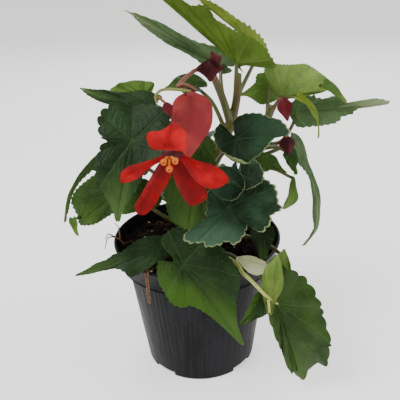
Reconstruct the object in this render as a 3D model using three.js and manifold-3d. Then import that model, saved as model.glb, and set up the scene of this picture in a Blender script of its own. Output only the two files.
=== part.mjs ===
// A potted begonia in flower, in a black plastic nursery pot.
// Millimetres, +Z up. The origin is the middle of the pot's flat underside, and the open
// flower leans out towards -Y.
import * as THREE from 'three';
import { mergeVertices } from 'three/addons/utils/BufferGeometryUtils.js';
import Module from 'manifold-3d';

const wasm = await Module();
wasm.setup();

// ---- Driving dimensions ----------------------------------------------------------------
const pot = {
  height: 108, rimRadius: 65, collarHeight: 16, collarFootRadius: 62, neckRadius: 56,
  baseRadius: 44.4, footChamfer: 1, wall: 1.6, baseThickness: 2.4, ledge: 1.5, sides: 40,
  slots: 4, slotAngle: 26, slotTurn: -42, slotHeight: 4, slotDepth: 9,
};
const soil = { level: 99, relief: 1.8, shoulder: 5, rings: 4, segments: 28 };
const gap = 0.35;                 // air between pieces that touch
const weld = 1e-4;                // corners closer than this are one corner
const bladeThickness = 0.8;
const petalThickness = 0.9;
const stalkRadius = 1.3;
const budStalkRadius = 0.9;
const stigmaRadius = 1.4;
const stemFoot = 72;              // how deep the stems stand, as a height above the underside
const lean = { degrees: 7.5, y: 2.5, z: 73 };  // of the plant in its pot, round the stems' feet

// ---- Colours ----------------------------------------------------------------
function finish(color, roughness) {
  return new THREE.MeshStandardMaterial({ color, roughness, metalness: 0 });
}
const potPlastic = finish(0x26272b, 0.45);
const peat = finish(0x1c1613, 0.95);
const stemSkin = finish(0x7d7a3e, 0.5);
const leafDark = finish(0x2c4f24, 0.45);
const leafMid = finish(0x44722f, 0.45);
const leafBright = finish(0x7aa03c, 0.5);
const leafCream = finish(0xc3cb9c, 0.6);
const petalRed = finish(0xd0202a, 0.5);
const budRed = finish(0x6a1018, 0.5);
const stigmaOrange = finish(0xe08a2c, 0.5);
const fibreBrown = finish(0x6f4c35, 0.9);

// ---- Solids ----------------------------------------------------------------
const vector = (point) => new THREE.Vector3(...point);

function solidOf(geometry) {
  const bare = geometry.index ? geometry.toNonIndexed() : geometry.clone();
  bare.deleteAttribute('normal');
  bare.deleteAttribute('uv');
  const merged = mergeVertices(bare, weld);
  return new wasm.Manifold(new wasm.Mesh({
    numProp: 3,
    vertProperties: new Float32Array(merged.attributes.position.array),
    triVerts: new Uint32Array(merged.index.array),
  }));
}

function geometryOf(solid) {
  const mesh = solid.getMesh();
  const geometry = new THREE.BufferGeometry();
  geometry.setAttribute('position', new THREE.BufferAttribute(mesh.vertProperties.slice(), 3));
  geometry.setIndex(new THREE.BufferAttribute(mesh.triVerts.slice(), 1));
  geometry.computeVertexNormals();
  return geometry;
}

function lathe(profile, segments) {
  const points = profile.map(([radius, height]) => new THREE.Vector2(radius, height));
  return solidOf(new THREE.LatheGeometry(points, segments).rotateX(Math.PI / 2));
}

// A stalk of one thickness along a smooth curve through the given points.
function tube(points, radius, sides = 4, steps = points.length + 2) {
  const section = new THREE.Shape(Array.from({ length: sides }, (_, i) => {
    const angle = 2 * Math.PI * i / sides;
    return new THREE.Vector2(radius * Math.cos(angle), radius * Math.sin(angle));
  }));
  const extrudePath = new THREE.CatmullRomCurve3(points.map(vector));
  return solidOf(new THREE.ExtrudeGeometry(section, { steps, extrudePath }));
}

// Leans a finished piece of the plant, which the tables describe upright.
function leant(solid) {
  return solid.translate([0, -lean.y, -lean.z]).rotate([lean.degrees, 0, 0])
    .translate([0, lean.y, lean.z]);
}

function ball(centre, radii) {
  const sphere = new THREE.SphereGeometry(1, 8, 4).scale(...radii).translate(...centre);
  return solidOf(sphere);
}

// ---- Blades: leaves and petals ----------------------------------------------------------------
// An outline goes anticlockwise round the eye, the point where the stalk meets the blade,
// in shares of the length from the eye to the tip. The first point is the tip.
const forms = {
  wrapped: [[1, 0], [0.78, 0.08], [0.64, 0.15], [0.43, 0.24], [0.2, 0.36], [-0.05, 0.44],
    [-0.3, 0.43], [-0.44, 0.26], [-0.46, 0.05], [-0.45, -0.15], [-0.4, -0.32], [-0.22, -0.45],
    [-0.05, -0.43], [0.05, -0.37], [0.08, -0.29], [0.14, -0.34], [0.3, -0.37], [0.47, -0.34],
    [0.63, -0.23], [0.8, -0.11]],
  eared: [[1, 0], [0.76, 0.08], [0.63, 0.16], [0.52, 0.26], [0.44, 0.34], [0.33, 0.39],
    [0.12, 0.4], [-0.08, 0.38], [-0.24, 0.28], [-0.33, 0.11], [-0.3, -0.06], [-0.08, -0.06],
    [-0.16, -0.18], [-0.03, -0.29], [0.12, -0.31], [0.23, -0.31], [0.32, -0.25], [0.36, -0.17],
    [0.5, -0.1], [0.62, -0.07], [0.79, -0.04]],
  round: [[1, 0], [0.86, 0.3], [0.66, 0.39], [0.46, 0.5], [0.22, 0.53], [0.06, 0.5],
    [-0.06, 0.38], [-0.03, 0.08], [-0.28, 0.38], [-0.41, 0.2], [-0.42, 0], [-0.36, -0.17],
    [-0.24, -0.34], [-0.04, -0.47], [0.17, -0.5], [0.36, -0.42], [0.55, -0.32], [0.78, -0.16]],
  fan: [[1, 0], [0.92, 0.16], [0.77, 0.32], [0.66, 0.43], [0.53, 0.52], [0.4, 0.54], [0.27, 0.55],
    [0.12, 0.58], [0.01, 0.61], [-0.12, 0.61], [-0.22, 0.55], [-0.23, 0.43], [-0.14, 0.24],
    [-0.06, 0.08], [-0.08, -0.03], [0.05, -0.06], [0.3, -0.06], [0.6, -0.05], [0.85, -0.03]],
  lance: [[1, 0], [0.92, 0.075], [0.74, 0.14], [0.5, 0.22], [0.3, 0.3], [0.12, 0.33],
    [-0.08, 0.28], [-0.14, 0.12], [-0.04, 0], [-0.12, -0.1], [-0.06, -0.24], [0.12, -0.28],
    [0.3, -0.25], [0.5, -0.18], [0.74, -0.12], [0.92, -0.07]],
  blunt: [[1, 0], [0.93, 0.1], [0.86, 0.26], [0.8, 0.35], [0.65, 0.42], [0.5, 0.44], [0.3, 0.44],
    [0.1, 0.44], [-0.08, 0.4], [-0.25, 0.3], [-0.36, 0.15], [-0.34, 0.04], [-0.05, -0.01],
    [-0.18, -0.1], [-0.05, -0.17], [0.15, -0.2], [0.37, -0.18], [0.55, -0.16], [0.72, -0.14],
    [0.88, -0.08]],
  half_fan: [[1, 0], [0.86, 0.05], [0.72, 0.105], [0.62, 0.127], [0.56, 0.18], [0.49, 0.195],
    [0.41, 0.165], [0.31, 0.185], [0.21, 0.2], [0.1, 0.245], [0, 0.275], [-0.14, 0.265],
    [-0.27, 0.235], [-0.29, 0.2], [-0.18, 0.11], [-0.05, 0], [-0.12, -0.14], [0, -0.24],
    [0.2, -0.28], [0.45, -0.24], [0.7, -0.13]],
  skirt: [[1, 0], [0.95, 0.06], [0.93, 0.23], [0.86, 0.41], [0.75, 0.53], [0.62, 0.6],
    [0.39, 0.7], [0.12, 0.68], [-0.18, 0.54], [-0.36, 0.29], [-0.38, 0], [-0.42, -0.2],
    [-0.6, -0.35], [-0.78, -0.5], [-0.68, -0.64], [-0.46, -0.64], [-0.38, -0.71], [-0.14, -0.68],
    [-0.04, -0.61], [0.11, -0.68], [0.26, -0.5], [0.34, -0.335], [0.45, -0.43], [0.6, -0.44],
    [0.74, -0.27], [0.78, -0.14]],
  rim: [[1, 0], [0.86, 0.03], [0.7, 0.045], [0.54, 0.07], [0.45, 0.14], [0.4, 0.21], [0.26, 0.2],
    [0.11, 0.16], [-0.05, 0.13], [-0.14, 0.05], [-0.16, -0.06], [-0.03, -0.15], [0.13, -0.18],
    [0.27, -0.15], [0.4, -0.1], [0.51, -0.095], [0.61, -0.055], [0.71, -0.06], [0.85, -0.03]],
  cup: [[1, 0], [0.86, 0.3], [0.66, 0.39], [0.46, 0.5], [0.22, 0.53], [0.06, 0.5], [-0.06, 0.38],
    [-0.03, 0.08], [-0.28, 0.38], [-0.41, 0.2], [-0.42, 0], [-0.4, -0.22], [-0.28, -0.44],
    [-0.07, -0.57], [0.08, -0.58], [0.22, -0.46], [0.43, -0.33], [0.58, -0.19], [0.72, -0.07]],
  bowl: [[1, 0], [0.9, 0.45], [0.5, 0.85], [0, 0.95], [-0.5, 0.85], [-0.85, 0.4], [-0.9, 0],
    [-0.85, -0.4], [-0.5, -0.8], [0, -0.9], [0.5, -0.8], [0.9, -0.42]],
  tongue: [[1, 0], [0.78, 0.11], [0.36, 0.11], [0.05, 0.07], [-0.06, 0.02], [-0.1, -0.08],
    [-0.2, -0.2], [-0.26, -0.35], [-0.19, -0.48], [0.15, -0.46], [0.56, -0.35], [0.75, -0.26],
    [0.9, -0.13]],
  egg: [[1, 0], [0.97, 0.1], [0.88, 0.19], [0.74, 0.23], [0.55, 0.25], [0.35, 0.26], [0.15, 0.25],
    [-0.02, 0.2], [-0.1, 0.08], [-0.04, 0], [-0.1, -0.08], [-0.02, -0.2], [0.15, -0.25],
    [0.35, -0.26], [0.55, -0.24], [0.74, -0.2], [0.88, -0.15], [0.97, -0.07]],
  trail: [[1, 0], [0.93, 0.04], [0.82, 0.062], [0.755, 0.06], [0.7, 0.06], [0.63, 0.056],
    [0.55, 0.052], [0.5, 0.085], [0.43, 0.136], [0.32, 0.125], [0.25, 0.14], [0.17, 0.175],
    [0.05, 0.17], [-0.05, 0.1], [-0.06, 0], [-0.04, -0.07], [0, -0.15], [0.13, -0.165],
    [0.3, -0.16], [0.42, -0.14], [0.47, -0.09], [0.57, -0.075], [0.63, -0.035], [0.74, -0.02],
    [0.84, -0.012]],
  ribbon: [[1, 0], [0.95, 0.04], [0.86, 0.065], [0.7, 0.08], [0.5, 0.085], [0.3, 0.09],
    [0.12, 0.12], [-0.02, 0.14], [-0.08, 0.05], [-0.08, -0.05], [-0.02, -0.14], [0.12, -0.12],
    [0.3, -0.09], [0.5, -0.085], [0.7, -0.08], [0.86, -0.065], [0.95, -0.04]],
  oval: [[1, 0], [0.93, 0.12], [0.72, 0.17], [0.43, 0.19], [0.13, 0.14], [-0.06, 0.05],
    [-0.05, -0.06], [0.07, -0.12], [0.24, -0.24], [0.49, -0.38], [0.73, -0.39], [0.94, -0.26],
    [1.02, -0.12]],
  spindle: [[1, 0], [0.85, 0.07], [0.7, 0.12], [0.5, 0.17], [0.3, 0.14], [0.12, 0.08],
    [-0.02, 0.03], [-0.02, -0.03], [0.12, -0.07], [0.3, -0.13], [0.5, -0.15], [0.7, -0.13],
    [0.85, -0.08]],
  petal: [[1, 0], [0.97, 0.1], [0.86, 0.19], [0.66, 0.22], [0.42, 0.18], [0.2, 0.11], [0, 0.06],
    [-0.06, 0], [0, -0.06], [0.2, -0.11], [0.42, -0.18], [0.66, -0.22], [0.86, -0.19],
    [0.97, -0.1]],
  hood: [[1, 0], [0.88, 0.13], [0.72, 0.25], [0.57, 0.35], [0.42, 0.4], [0.22, 0.41],
    [0.06, 0.38], [-0.05, 0.28], [-0.09, 0.12], [-0.09, -0.05], [-0.07, -0.22], [0, -0.32],
    [0.13, -0.36], [0.3, -0.36], [0.47, -0.36], [0.63, -0.32], [0.8, -0.25], [0.93, -0.13]],
  lip: [[1, 0], [0.94, 0.08], [0.74, 0.26], [0.56, 0.53], [0.5, 0.85], [0.26, 1], [-0.06, 0.86],
    [-0.24, 0.65], [-0.23, 0.31], [-0.17, 0], [-0.12, -0.37], [-0.02, -0.7], [0.18, -0.8],
    [0.43, -0.73], [0.73, -0.7], [0.91, -0.5], [1.03, -0.21]],
  side_left: [[1, 0], [1.02, 0.08], [0.84, 0.15], [0.67, 0.165], [0.47, 0.12], [0.29, 0.08],
    [0, 0.06], [-0.05, 0], [0, -0.05], [0.28, -0.06], [0.48, -0.1], [0.74, -0.15], [0.9, -0.12],
    [0.97, -0.06]],
  low_left: [[1, 0], [0.97, 0.08], [0.9, 0.12], [0.74, 0.17], [0.51, 0.17], [0.29, 0.19],
    [0.1, 0.17], [-0.04, 0.08], [-0.04, -0.05], [0.11, -0.1], [0.37, -0.12], [0.68, -0.13],
    [0.88, -0.14], [0.98, -0.07]],
  low_right: [[1, 0], [1, 0.18], [0.98, 0.3], [0.9, 0.4], [0.7, 0.39], [0.33, 0.26], [0.05, 0.14],
    [-0.05, 0.03], [0, -0.09], [0.18, -0.14], [0.46, -0.16], [0.75, -0.13], [0.93, -0.06]],
  side_right: [[1, 0], [0.9, 0.06], [0.8, 0.09], [0.66, 0.1], [0.49, 0.075], [0.31, 0.05],
    [0.14, 0.04], [0, 0.05], [-0.05, 0], [0, -0.06], [0.18, -0.16], [0.37, -0.28], [0.56, -0.34],
    [0.73, -0.34], [0.89, -0.25], [0.98, -0.13]],
};

const plainBlade = {
  form: 'eared', flip: false, widths: [1, 1], back: 1,
  fold: [8, 8], curl: 0, bow: 0.06, hook: 0, twist: 0,
  ruffle: 0.015, waves: 6, rings: [0.55, 1], thickness: bladeThickness, notch: 0,
};
const notched = { notch: 0.05 };
const cupped = { ...notched, rings: [0.4, 0.75, 1] };

// Outline of a blade. Where it has notches, one lies between every two points of its form.
function outline(blade) {
  const side = blade.flip ? -1 : 1;
  const corners = forms[blade.form].map(([along, across]) => new THREE.Vector3(
    along < 0 ? along * blade.back : along,
    across * side * blade.widths[across * side >= 0 ? 0 : 1], 0));
  if (blade.flip) corners.reverse();
  if (blade.notch === 0) return corners;
  const curve = new THREE.CatmullRomCurve3(corners, true, 'centripetal');
  return Array.from({ length: 2 * corners.length }, (_, i) => {
    const point = curve.getPoint(i / (2 * corners.length));
    return i % 2 ? point.multiplyScalar(1 - blade.notch) : point;
  });
}

// Bends a flat blade: folded along its midrib, margins curled, arched, hooked and twisted.
function bent(blade, point, reach, turn) {
  const degrees = blade.fold[point.y >= 0 ? 0 : 1] + blade.curl * reach * reach;
  const angle = degrees * Math.PI / 180;
  const wave = blade.ruffle * reach * reach * Math.sin(2 * Math.PI * blade.waves * turn);
  const out = point.y * Math.cos(angle);
  const lift = Math.abs(point.y) * Math.sin(angle) + wave;
  const twist = blade.twist * Math.PI / 180 * Math.max(point.x, 0);
  const across = out * Math.cos(twist) - lift * Math.sin(twist);
  const up = out * Math.sin(twist) + lift * Math.cos(twist);
  const ahead = Math.max(point.x, 0);
  const slope = 4 * blade.bow * (1 - 2 * ahead);
  const arch = 4 * blade.bow * (ahead * (1 - ahead) + Math.min(point.x, 0));
  const drop = blade.hook * Math.max(0, (point.x - 0.55) / 0.45) ** 2;
  const stretch = Math.hypot(1, slope);
  return new THREE.Vector3(point.x - up * slope / stretch, across, arch - drop + up / stretch);
}

// The blade's own frame: X from eye to tip, Z out of its upper face.
function frameOf(blade) {
  const eye = vector(blade.eye);
  const chord = vector(blade.tip).sub(eye);
  const ahead = chord.clone().normalize();
  const face = vector(blade.face);
  face.addScaledVector(ahead, -face.dot(ahead)).normalize();
  const left = face.clone().cross(ahead);
  return new THREE.Matrix4().makeBasis(ahead, left, face)
    .scale(new THREE.Vector3(1, 1, 1).multiplyScalar(chord.length())).setPosition(eye);
}

function bladeSolid(given) {
  const blade = { ...plainBlade, ...given };
  const rim = outline(blade);
  const frame = frameOf(blade);
  const middle = [bent(blade, new THREE.Vector3(), 0, 0)];
  for (const reach of blade.rings) {
    rim.forEach((point, i) => {
      middle.push(bent(blade, point.clone().multiplyScalar(reach), reach, i / rim.length));
    });
  }
  middle.forEach((point) => point.applyMatrix4(frame));
  const count = rim.length;
  const upper = [];
  for (let i = 0; i < count; i += 1) {
    const next = (i + 1) % count;
    upper.push([0, 1 + i, 1 + next]);
    for (let ring = 1; ring < blade.rings.length; ring += 1) {
      const inner = 1 + (ring - 1) * count;
      const outer = inner + count;
      upper.push([inner + i, outer + i, outer + next], [inner + i, outer + next, inner + next]);
    }
  }
  const sheet = new THREE.BufferGeometry().setFromPoints(middle);
  sheet.setIndex(upper.flat());
  sheet.computeVertexNormals();
  const normals = sheet.attributes.normal;
  const vertices = [];
  for (const side of [1, -1]) {
    middle.forEach((point, i) => {
      const normal = new THREE.Vector3().fromBufferAttribute(normals, i);
      vertices.push(...point.clone().addScaledVector(normal, side * blade.thickness / 2).toArray());
    });
  }
  const total = middle.length;
  const last = 1 + (blade.rings.length - 1) * count;
  const faces = [...upper];
  upper.forEach(([a, b, c]) => faces.push([a + total, c + total, b + total]));
  for (let i = 0; i < count; i += 1) {
    const here = last + i;
    const next = last + (i + 1) % count;
    faces.push([here, here + total, next + total], [here, next + total, next]);
  }
  return new wasm.Manifold(new wasm.Mesh({
    numProp: 3,
    vertProperties: new Float32Array(vertices),
    triVerts: new Uint32Array(faces.flat()),
  }));
}

// ---- Stems ----------------------------------------------------------------
const fork = [27, -6, 209];
const stems = {
  stem_main: [
    { radius: 4.4,
      points: [[-5, -6, stemFoot], [-4, -7, 105], [4, -8, 150], [18, -7, 188], fork] },
    { radius: 2.7, points: [[26, -6, 205], [21, -9, 224], [15, -11, 241]] },
    { radius: 3, points: [[26, -6, 203], [30, -4, 224], [31, -1, 240]] },
  ],
  stem_second: [
    { radius: 3.4,
      points: [[14, 8, stemFoot], [16, 9, 105], [30, 7, 146], [46, 6, 184], [55, 4, 214]] },
  ],
};

// The branches of a stem as one solid, or the sleeve that keeps others clear of it.
function stemSolid(branches, growth = 0) {
  const tubes = branches.map(({ points, radius }) => {
    const path = points.map(vector);
    const foot = path[0].clone().sub(path[1]).setLength(growth).add(path[0]);
    const end = path.at(-1).clone().sub(path.at(-2)).setLength(growth).add(path.at(-1));
    const grown = [foot, ...path.slice(1, -1), end].map((point) => point.toArray());
    return tube(grown, radius + growth, 8, 2 * grown.length);
  });
  return wasm.Manifold.union(tubes);
}

// ---- Leaves ----------------------------------------------------------------
// stalk: the way from the stem's axis to the eye, which is added as its last point.
// flaps: folded-over parts, each a blade of its own, joined on at its joint or at the eye.
const leaves = {
  leaf_top: { form: 'half_fan', colour: leafBright, eye: [30, 0, 246],
    tip: [-25, 14, 292], face: [0.3, 0.9, -0.2], widths: [1, 0.5], back: 0.95, bow: 0.05,
    fold: [4, 70], stalk: [[30, -2, 234]] },
  leaf_top_back: { form: 'lance', colour: leafBright, eye: [47, 26, 243],
    tip: [2, 30, 283], face: [0.3, -0.5, 0.8], widths: [0.15, 0.68], fold: [20, 20],
    stalk: [[30, -4, 224], [38, 12, 232]] },
  leaf_top_left: { form: 'lance', colour: leafMid, eye: [20, 12, 242],
    tip: [-41, 2, 283], face: [-0.4, 0.7, -0.5], widths: [0.42, 0.3], bow: 0.04, fold: [10, 30],
    ruffle: 0.03, waves: 5, stalk: [[21, -9, 224], [20, 2, 232]] },
  leaf_left_slim: { form: 'lance', colour: leafDark, eye: [-26, -4, 222], tip: [-75, 0, 233],
    face: [0, -0.3, 1], widths: [0.8, 0.8], bow: -0.06, fold: [10, 10], stalk: [[18, -7, 188],
    [-6, 0, 208]] },
  leaf_left_bright: { form: 'tongue', colour: leafBright, eye: [-33, 8, 222], tip: [-57, 10, 226],
    face: [0, -0.8, 0.6], fold: [5, 5], stalk: [[12, -8, 172], [-8, 6, 200]] },
  leaf_behind_flower: { form: 'eared', colour: leafMid, eye: [3, 10, 228], tip: [-23, 6, 226.6],
    face: [0, -0.3, 0.9], widths: [1.2, 1.1], flip: true, stalk: [[23, -7, 200], [14, 4, 218]] },
  leaf_left_big: { form: 'wrapped', colour: leafDark, eye: [-38, -38, 212],
    tip: [-49, -64, 167], face: [-0.1, -0.75, 0.65], bow: 0.08, fold: [6, 12],
    stalk: [[4, -8, 150], [-14, -18, 176], [-30, -30, 202]] },
  leaf_left_outer: { form: 'lance', colour: leafMid, eye: [-64, 6, 184],
    tip: [-100, 0, 124], face: [-0.8, -0.2, 0.55], widths: [0.4, 0.55], bow: 0.12,
    fold: [-20, -35], stalk: [[0, -8, 132], [-22, 6, 156], [-48, 8, 176]] },
  leaf_left_low: { form: 'blunt', flip: true, colour: leafMid, eye: [-50, -20, 166],
    tip: [-84, -30, 144], face: [-0.1, -0.85, 0.5], widths: [1.4, 1.1], back: 0.6, hook: 0.15,
    stalk: [[-3, -7, 120], [-20, -12, 134], [-38, -18, 154]], flaps: [{ form: 'lance',
    eye: [-85, -31, 150], tip: [-83, -33, 136], face: [-0.3, -0.8, 0.5], widths: [0.7, 0.9],
    joint: [-81.5, -25.5, 147] }] },
  leaf_left_inner: { form: 'lance', colour: leafMid, eye: [-29, -38, 175], tip: [-50, -46, 163],
    face: [0, -0.7, 0.7], widths: [1.5, 1.5], stalk: [[-2, -7, 126], [-14, -20, 150]] },
  leaf_rim_left: { form: 'rim', colour: leafDark, eye: [-26, -42, 130],
    tip: [-86, -53, 117], face: [0, -0.75, 0.65], fold: [4, 10], stalk: [[-4, -7, 112],
    [-12, -24, 118], [-22, -38, 126]] },
  leaf_rim_front: { ...notched, form: 'eared', colour: leafMid, eye: [-9, -60, 130],
    tip: [30, -84, 76], face: [-0.05, -0.8, 0.6], bow: 0.08, stalk: [[-4, -7, 108],
    [-8, -30, 116], [-9, -52, 124]] },
  leaf_centre_cup: { ...cupped, form: 'round', colour: leafDark, eye: [27, -36, 209],
    tip: [62, -34, 211], face: [0.1, -0.9, 0.45], widths: [1, 1.1], bow: -0.04, fold: [10, 14],
    curl: 22, stalk: [[12, -8, 172], [16, -20, 186], [24, -32, 204]] },
  leaf_centre_curl: { ...cupped, form: 'bowl', colour: leafDark, eye: [20, -52.5, 187],
    tip: [31, -54.5, 178], face: [-0.25, -0.7, 0.65], bow: 0, fold: [5, 5], curl: 30,
    stalk: [[4, -8, 150], [13, -26, 178], [19, -42, 194]], flaps: [{ form: 'round',
    eye: [29, -48, 190], tip: [44, -43, 182], face: [0.2, -0.75, 0.65], widths: [1.3, 1.2],
    curl: 15 }] },
  leaf_centre_big: { ...notched, form: 'skirt', colour: leafDark, eye: [21, -56, 171],
    tip: [57, -52, 166], face: [0, -0.7, 0.7], fold: [-4, 8], bow: 0.05,
    stalk: [[0, -8, 130], [10, -30, 140], [18, -48, 162]] },
  leaf_under_flower: { form: 'egg', colour: leafMid, eye: [5, -28, 203],
    tip: [-6, -49.5, 149], face: [0, -0.85, 0.5], widths: [0.8, 1.4], stalk: [[0, -8, 136],
    [-2, -18, 170], [2, -24, 194]] },
  leaf_hanging_right: { form: 'blunt', colour: leafMid, eye: [54, -68, 99],
    tip: [74, -69, 23], face: [-0.1, -0.8, 0.6], widths: [0.84, 0.6], bow: 0.05, fold: [5, 20],
    ruffle: 0.035, waves: 9, stalk: [[-2, -7, 114], [10, -34, 122], [26, -53, 124],
    [30, -61, 122], [36, -67, 119], [46, -70, 108]], flaps: [{ form: 'spindle',
    eye: [48, -73, 96], tip: [52, -70, 143], face: [0, 1, 0], widths: [1, 1.1], fold: [12, 12],
    joint: [47, -71, 106] }] },
  leaf_hanging_back: { form: 'blunt', colour: leafBright, eye: [64, -54, 106],
    tip: [60, -46, 130], face: [0.2, -0.8, 0.5], widths: [1.4, 0.5], stalk: [[14, 8, 100],
    [30, -10, 117], [54, -32, 120], [64, -48, 114]] },
  leaf_fold_small: { form: 'lance', colour: leafMid, eye: [45, -63, 100], tip: [28, -70, 82],
    face: [0.4, -0.7, 0.6], widths: [1.1, 1.3], back: 0.8, fold: [25, 25], stalk: [[0, -9, 108],
    [14, -38, 114], [35, -50, 118.5], [44, -58, 113]] },
  leaf_cream: { form: 'oval', colour: leafCream, eye: [28, -52, 126], tip: [47, -56, 122],
    face: [0, -0.6, 0.8], widths: [1.1, 1.1], fold: [12, 12], stalk: [[2, -8, 106],
    [16, -26, 113.5], [25, -42, 121.5]] },
  leaf_right_fan: { form: 'fan', colour: leafBright, eye: [60, 2, 221],
    tip: [97, 2, 226], face: [0, 0.9, -0.3], bow: 0.03, fold: [5, 5], flip: true,
    stalk: [[54, 5, 208]], flaps: [{ form: 'lance', eye: [70, -7, 224], tip: [84, -14, 196],
    face: [0.7, -0.2, 0.7], widths: [0.8, 0.8], back: 0.4, bow: 0.16, fold: [10, 10] }, {
    form: 'lance', eye: [89, -1, 230], tip: [104, -4, 217], face: [0.2, -0.7, 0.7],
    widths: [0.7, 0.7], joint: [87, 5, 227] }] },
  leaf_right_long: { form: 'trail', colour: leafMid, eye: [73, 10, 205],
    tip: [142, 18, 207], face: [0, -0.85, 0.5], bow: 0.03, ruffle: 0,
    stalk: [[46, 6, 184], [62, 8, 184], [70, 9, 195]] },
  leaf_right_hanging: { form: 'ribbon', colour: leafMid, eye: [75, 8, 183],
    tip: [96, 2, 91], face: [0.8, -0.5, 0.3], widths: [0.75, 0.75], bow: 0.08, hook: 0.14,
    fold: [-20, -20], ruffle: 0, stalk: [[42, 6, 172], [60, 8, 178], [68, 8, 183]] },
  leaf_right_small: { form: 'petal', colour: leafBright, eye: [72, 3, 157], tip: [69, -3, 131],
    face: [0.6, -0.7, 0.3], widths: [1.2, 1.2], hook: 0.2, stalk: [[36, 7, 162], [56, 6, 164]] },
  leaf_crown_low: { form: 'eared', colour: leafBright, eye: [55, 26, 220], tip: [33, 28, 212],
    face: [0, -0.7, 0.7], widths: [1.5, 1.5], stalk: [[52, 5, 206]] },
  leaf_right_under: { form: 'lance', colour: leafDark, eye: [46, -30, 134], tip: [46, -46, 119],
    face: [0, -0.8, 0.6], widths: [1.4, 1.4], stalk: [[16, 9, 104], [34, -8, 128]] },
  leaf_bud_inner: { form: 'eared', colour: leafMid, eye: [48, -8, 177], tip: [66, -12, 170],
    face: [0, -0.9, 0.4], widths: [1, 1], ruffle: 0.06, stalk: [[36, 7, 162], [42, 0, 172]] },
  leaf_bud_outer: { form: 'lance', colour: leafMid, eye: [67, -1.5, 180], tip: [73, -3.5, 163],
    face: [0.2, -0.9, 0.4], widths: [1, 1], ruffle: 0.06, stalk: [[44, 6, 179], [58, 1, 184]] },
  leaf_back_left: { ...notched, form: 'eared', colour: leafDark, eye: [-22, 26, 168],
    tip: [-60, 46, 140], face: [-0.4, 0.4, 0.8], widths: [1.1, 1.1], bow: 0.1,
    stalk: [[-3, -7, 122], [-12, 12, 150]] },
  leaf_back_low_left: { ...notched, form: 'eared', colour: leafMid, eye: [-30, 38, 130],
    tip: [-62, 66, 112], face: [-0.3, 0.5, 0.8], widths: [1.1, 1.1], bow: 0.1,
    stalk: [[-4, -7, 106], [-16, 20, 118]] },
  leaf_back_middle: { ...notched, form: 'wrapped', colour: leafDark, eye: [4, 38, 178],
    tip: [-6, 76, 138], face: [0, 0.6, 0.8], bow: 0.1, stalk: [[8, -8, 160], [6, 18, 168]] },
  leaf_back_low: { ...notched, form: 'eared', colour: leafMid, eye: [12, 50, 128],
    tip: [14, 88, 112], face: [0, 0.4, 0.9], widths: [1.2, 1.2], bow: 0.1, stalk: [[16, 9, 106],
    [14, 34, 118]] },
  leaf_back_right: { ...notched, form: 'eared', colour: leafDark, eye: [40, 34, 172],
    tip: [56, 66, 140], face: [0.3, 0.5, 0.8], widths: [1.1, 1.1], bow: 0.1, stalk: [[30, 7, 146],
    [36, 22, 160]] },
};

function leafSolid(leaf) {
  const face = vector(leaf.face).normalize();
  const under = vector(leaf.eye).addScaledVector(face, -bladeThickness / 2).toArray();
  const pieces = [bladeSolid(leaf), tube([...leaf.stalk, under], stalkRadius)];
  for (const flap of leaf.flaps ?? []) {
    pieces.push(bladeSolid(flap), tube([flap.joint ?? leaf.eye, flap.eye], stalkRadius));
  }
  return wasm.Manifold.union(pieces);
}

// ---- Flower ----------------------------------------------------------------
// The petals hang from the receptacle and spread round the heart, where the stigmas are.
const receptacle = { centre: [-2, -45, 241], radius: 6 };
const heart = { centre: [-12, -62, 213], radii: [6.5, 3.5, 5.5] };
const claw = { radius: 1.8, sides: 6 };      // carries the lip
const petals = {
  hood: { form: 'hood', eye: [0, -50, 244], tip: [-2, -65, 213], face: [-0.1, -0.9, 0.4],
    bow: 0.12, fold: [-25, -25], rings: [0.4, 0.75, 1] },
  lip: { form: 'lip', eye: [-13.5, -72, 224.5], tip: [-10.5, -74, 239],
    face: [0, -0.85, 0.5], widths: [0.86, 0.86], bow: -0.04 },
  left: { form: 'side_left', eye: [-17.5, -64, 213], tip: [-42.5, -72, 204],
    face: [0, -0.8, 0.6], fold: [-12, 14] },
  lowLeft: { form: 'low_left', eye: [-16, -64, 210], tip: [-33, -78, 183],
    face: [0.2, -0.8, 0.6], fold: [10, 10] },
  lowRight: { form: 'low_right', eye: [-10.5, -64, 209.5], tip: [-1.5, -79, 188],
    face: [0.1, -0.8, 0.6], fold: [-6, 12] },
  right: { form: 'side_right', eye: [-7, -63, 213], tip: [20.5, -72, 201.5],
    face: [0.2, -0.8, 0.6], fold: [20, -10] },
};

function flowerSolid() {
  const look = { thickness: petalThickness, ruffle: 0 };
  const blades = Object.values(petals).map((petal) => bladeSolid({ ...look, ...petal }));
  const neck = tube([receptacle.centre, heart.centre], receptacle.radius, 8, 1);
  const link = tube([heart.centre, petals.lip.eye], claw.radius, claw.sides, 1);
  return wasm.Manifold.union([neck, link, ball(heart.centre, heart.radii), ...blades]);
}

// Three forked stigmas, each a short twisted pair of lobes.
const stigmas = [
  [[-13.5, -69, 214], [-16, -71, 216], [-17.5, -73, 213.5]],
  [[-13.5, -69, 214], [-11, -71, 216], [-9.5, -73, 214]],
  [[-13.5, -69, 214], [-14, -72, 213], [-13, -75, 209]],
];

function stigmaSolid() {
  return wasm.Manifold.union(stigmas.map((points) => tube(points, stigmaRadius)));
}

const flowerStalks = [
  { radius: 1.4, points: [[14, -12, 240], [9, -14, 245], [4.5, -18, 249], [0, -25, 249],
    [-4.5, -33, 248], [-7, -39, 247], [-5, -43, 246.5]] },
  { radius: 1.1, points: [[3, -43, 247], [-3, -42, 248.5], [-8, -41, 247.5]] },
  { radius: 0.9, points: [[-6.5, -40, 247], [-9, -49, 249], [-16, -54, 250.5],
    [-19.5, -56, 248], [-19, -57, 244]] },
];

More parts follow.
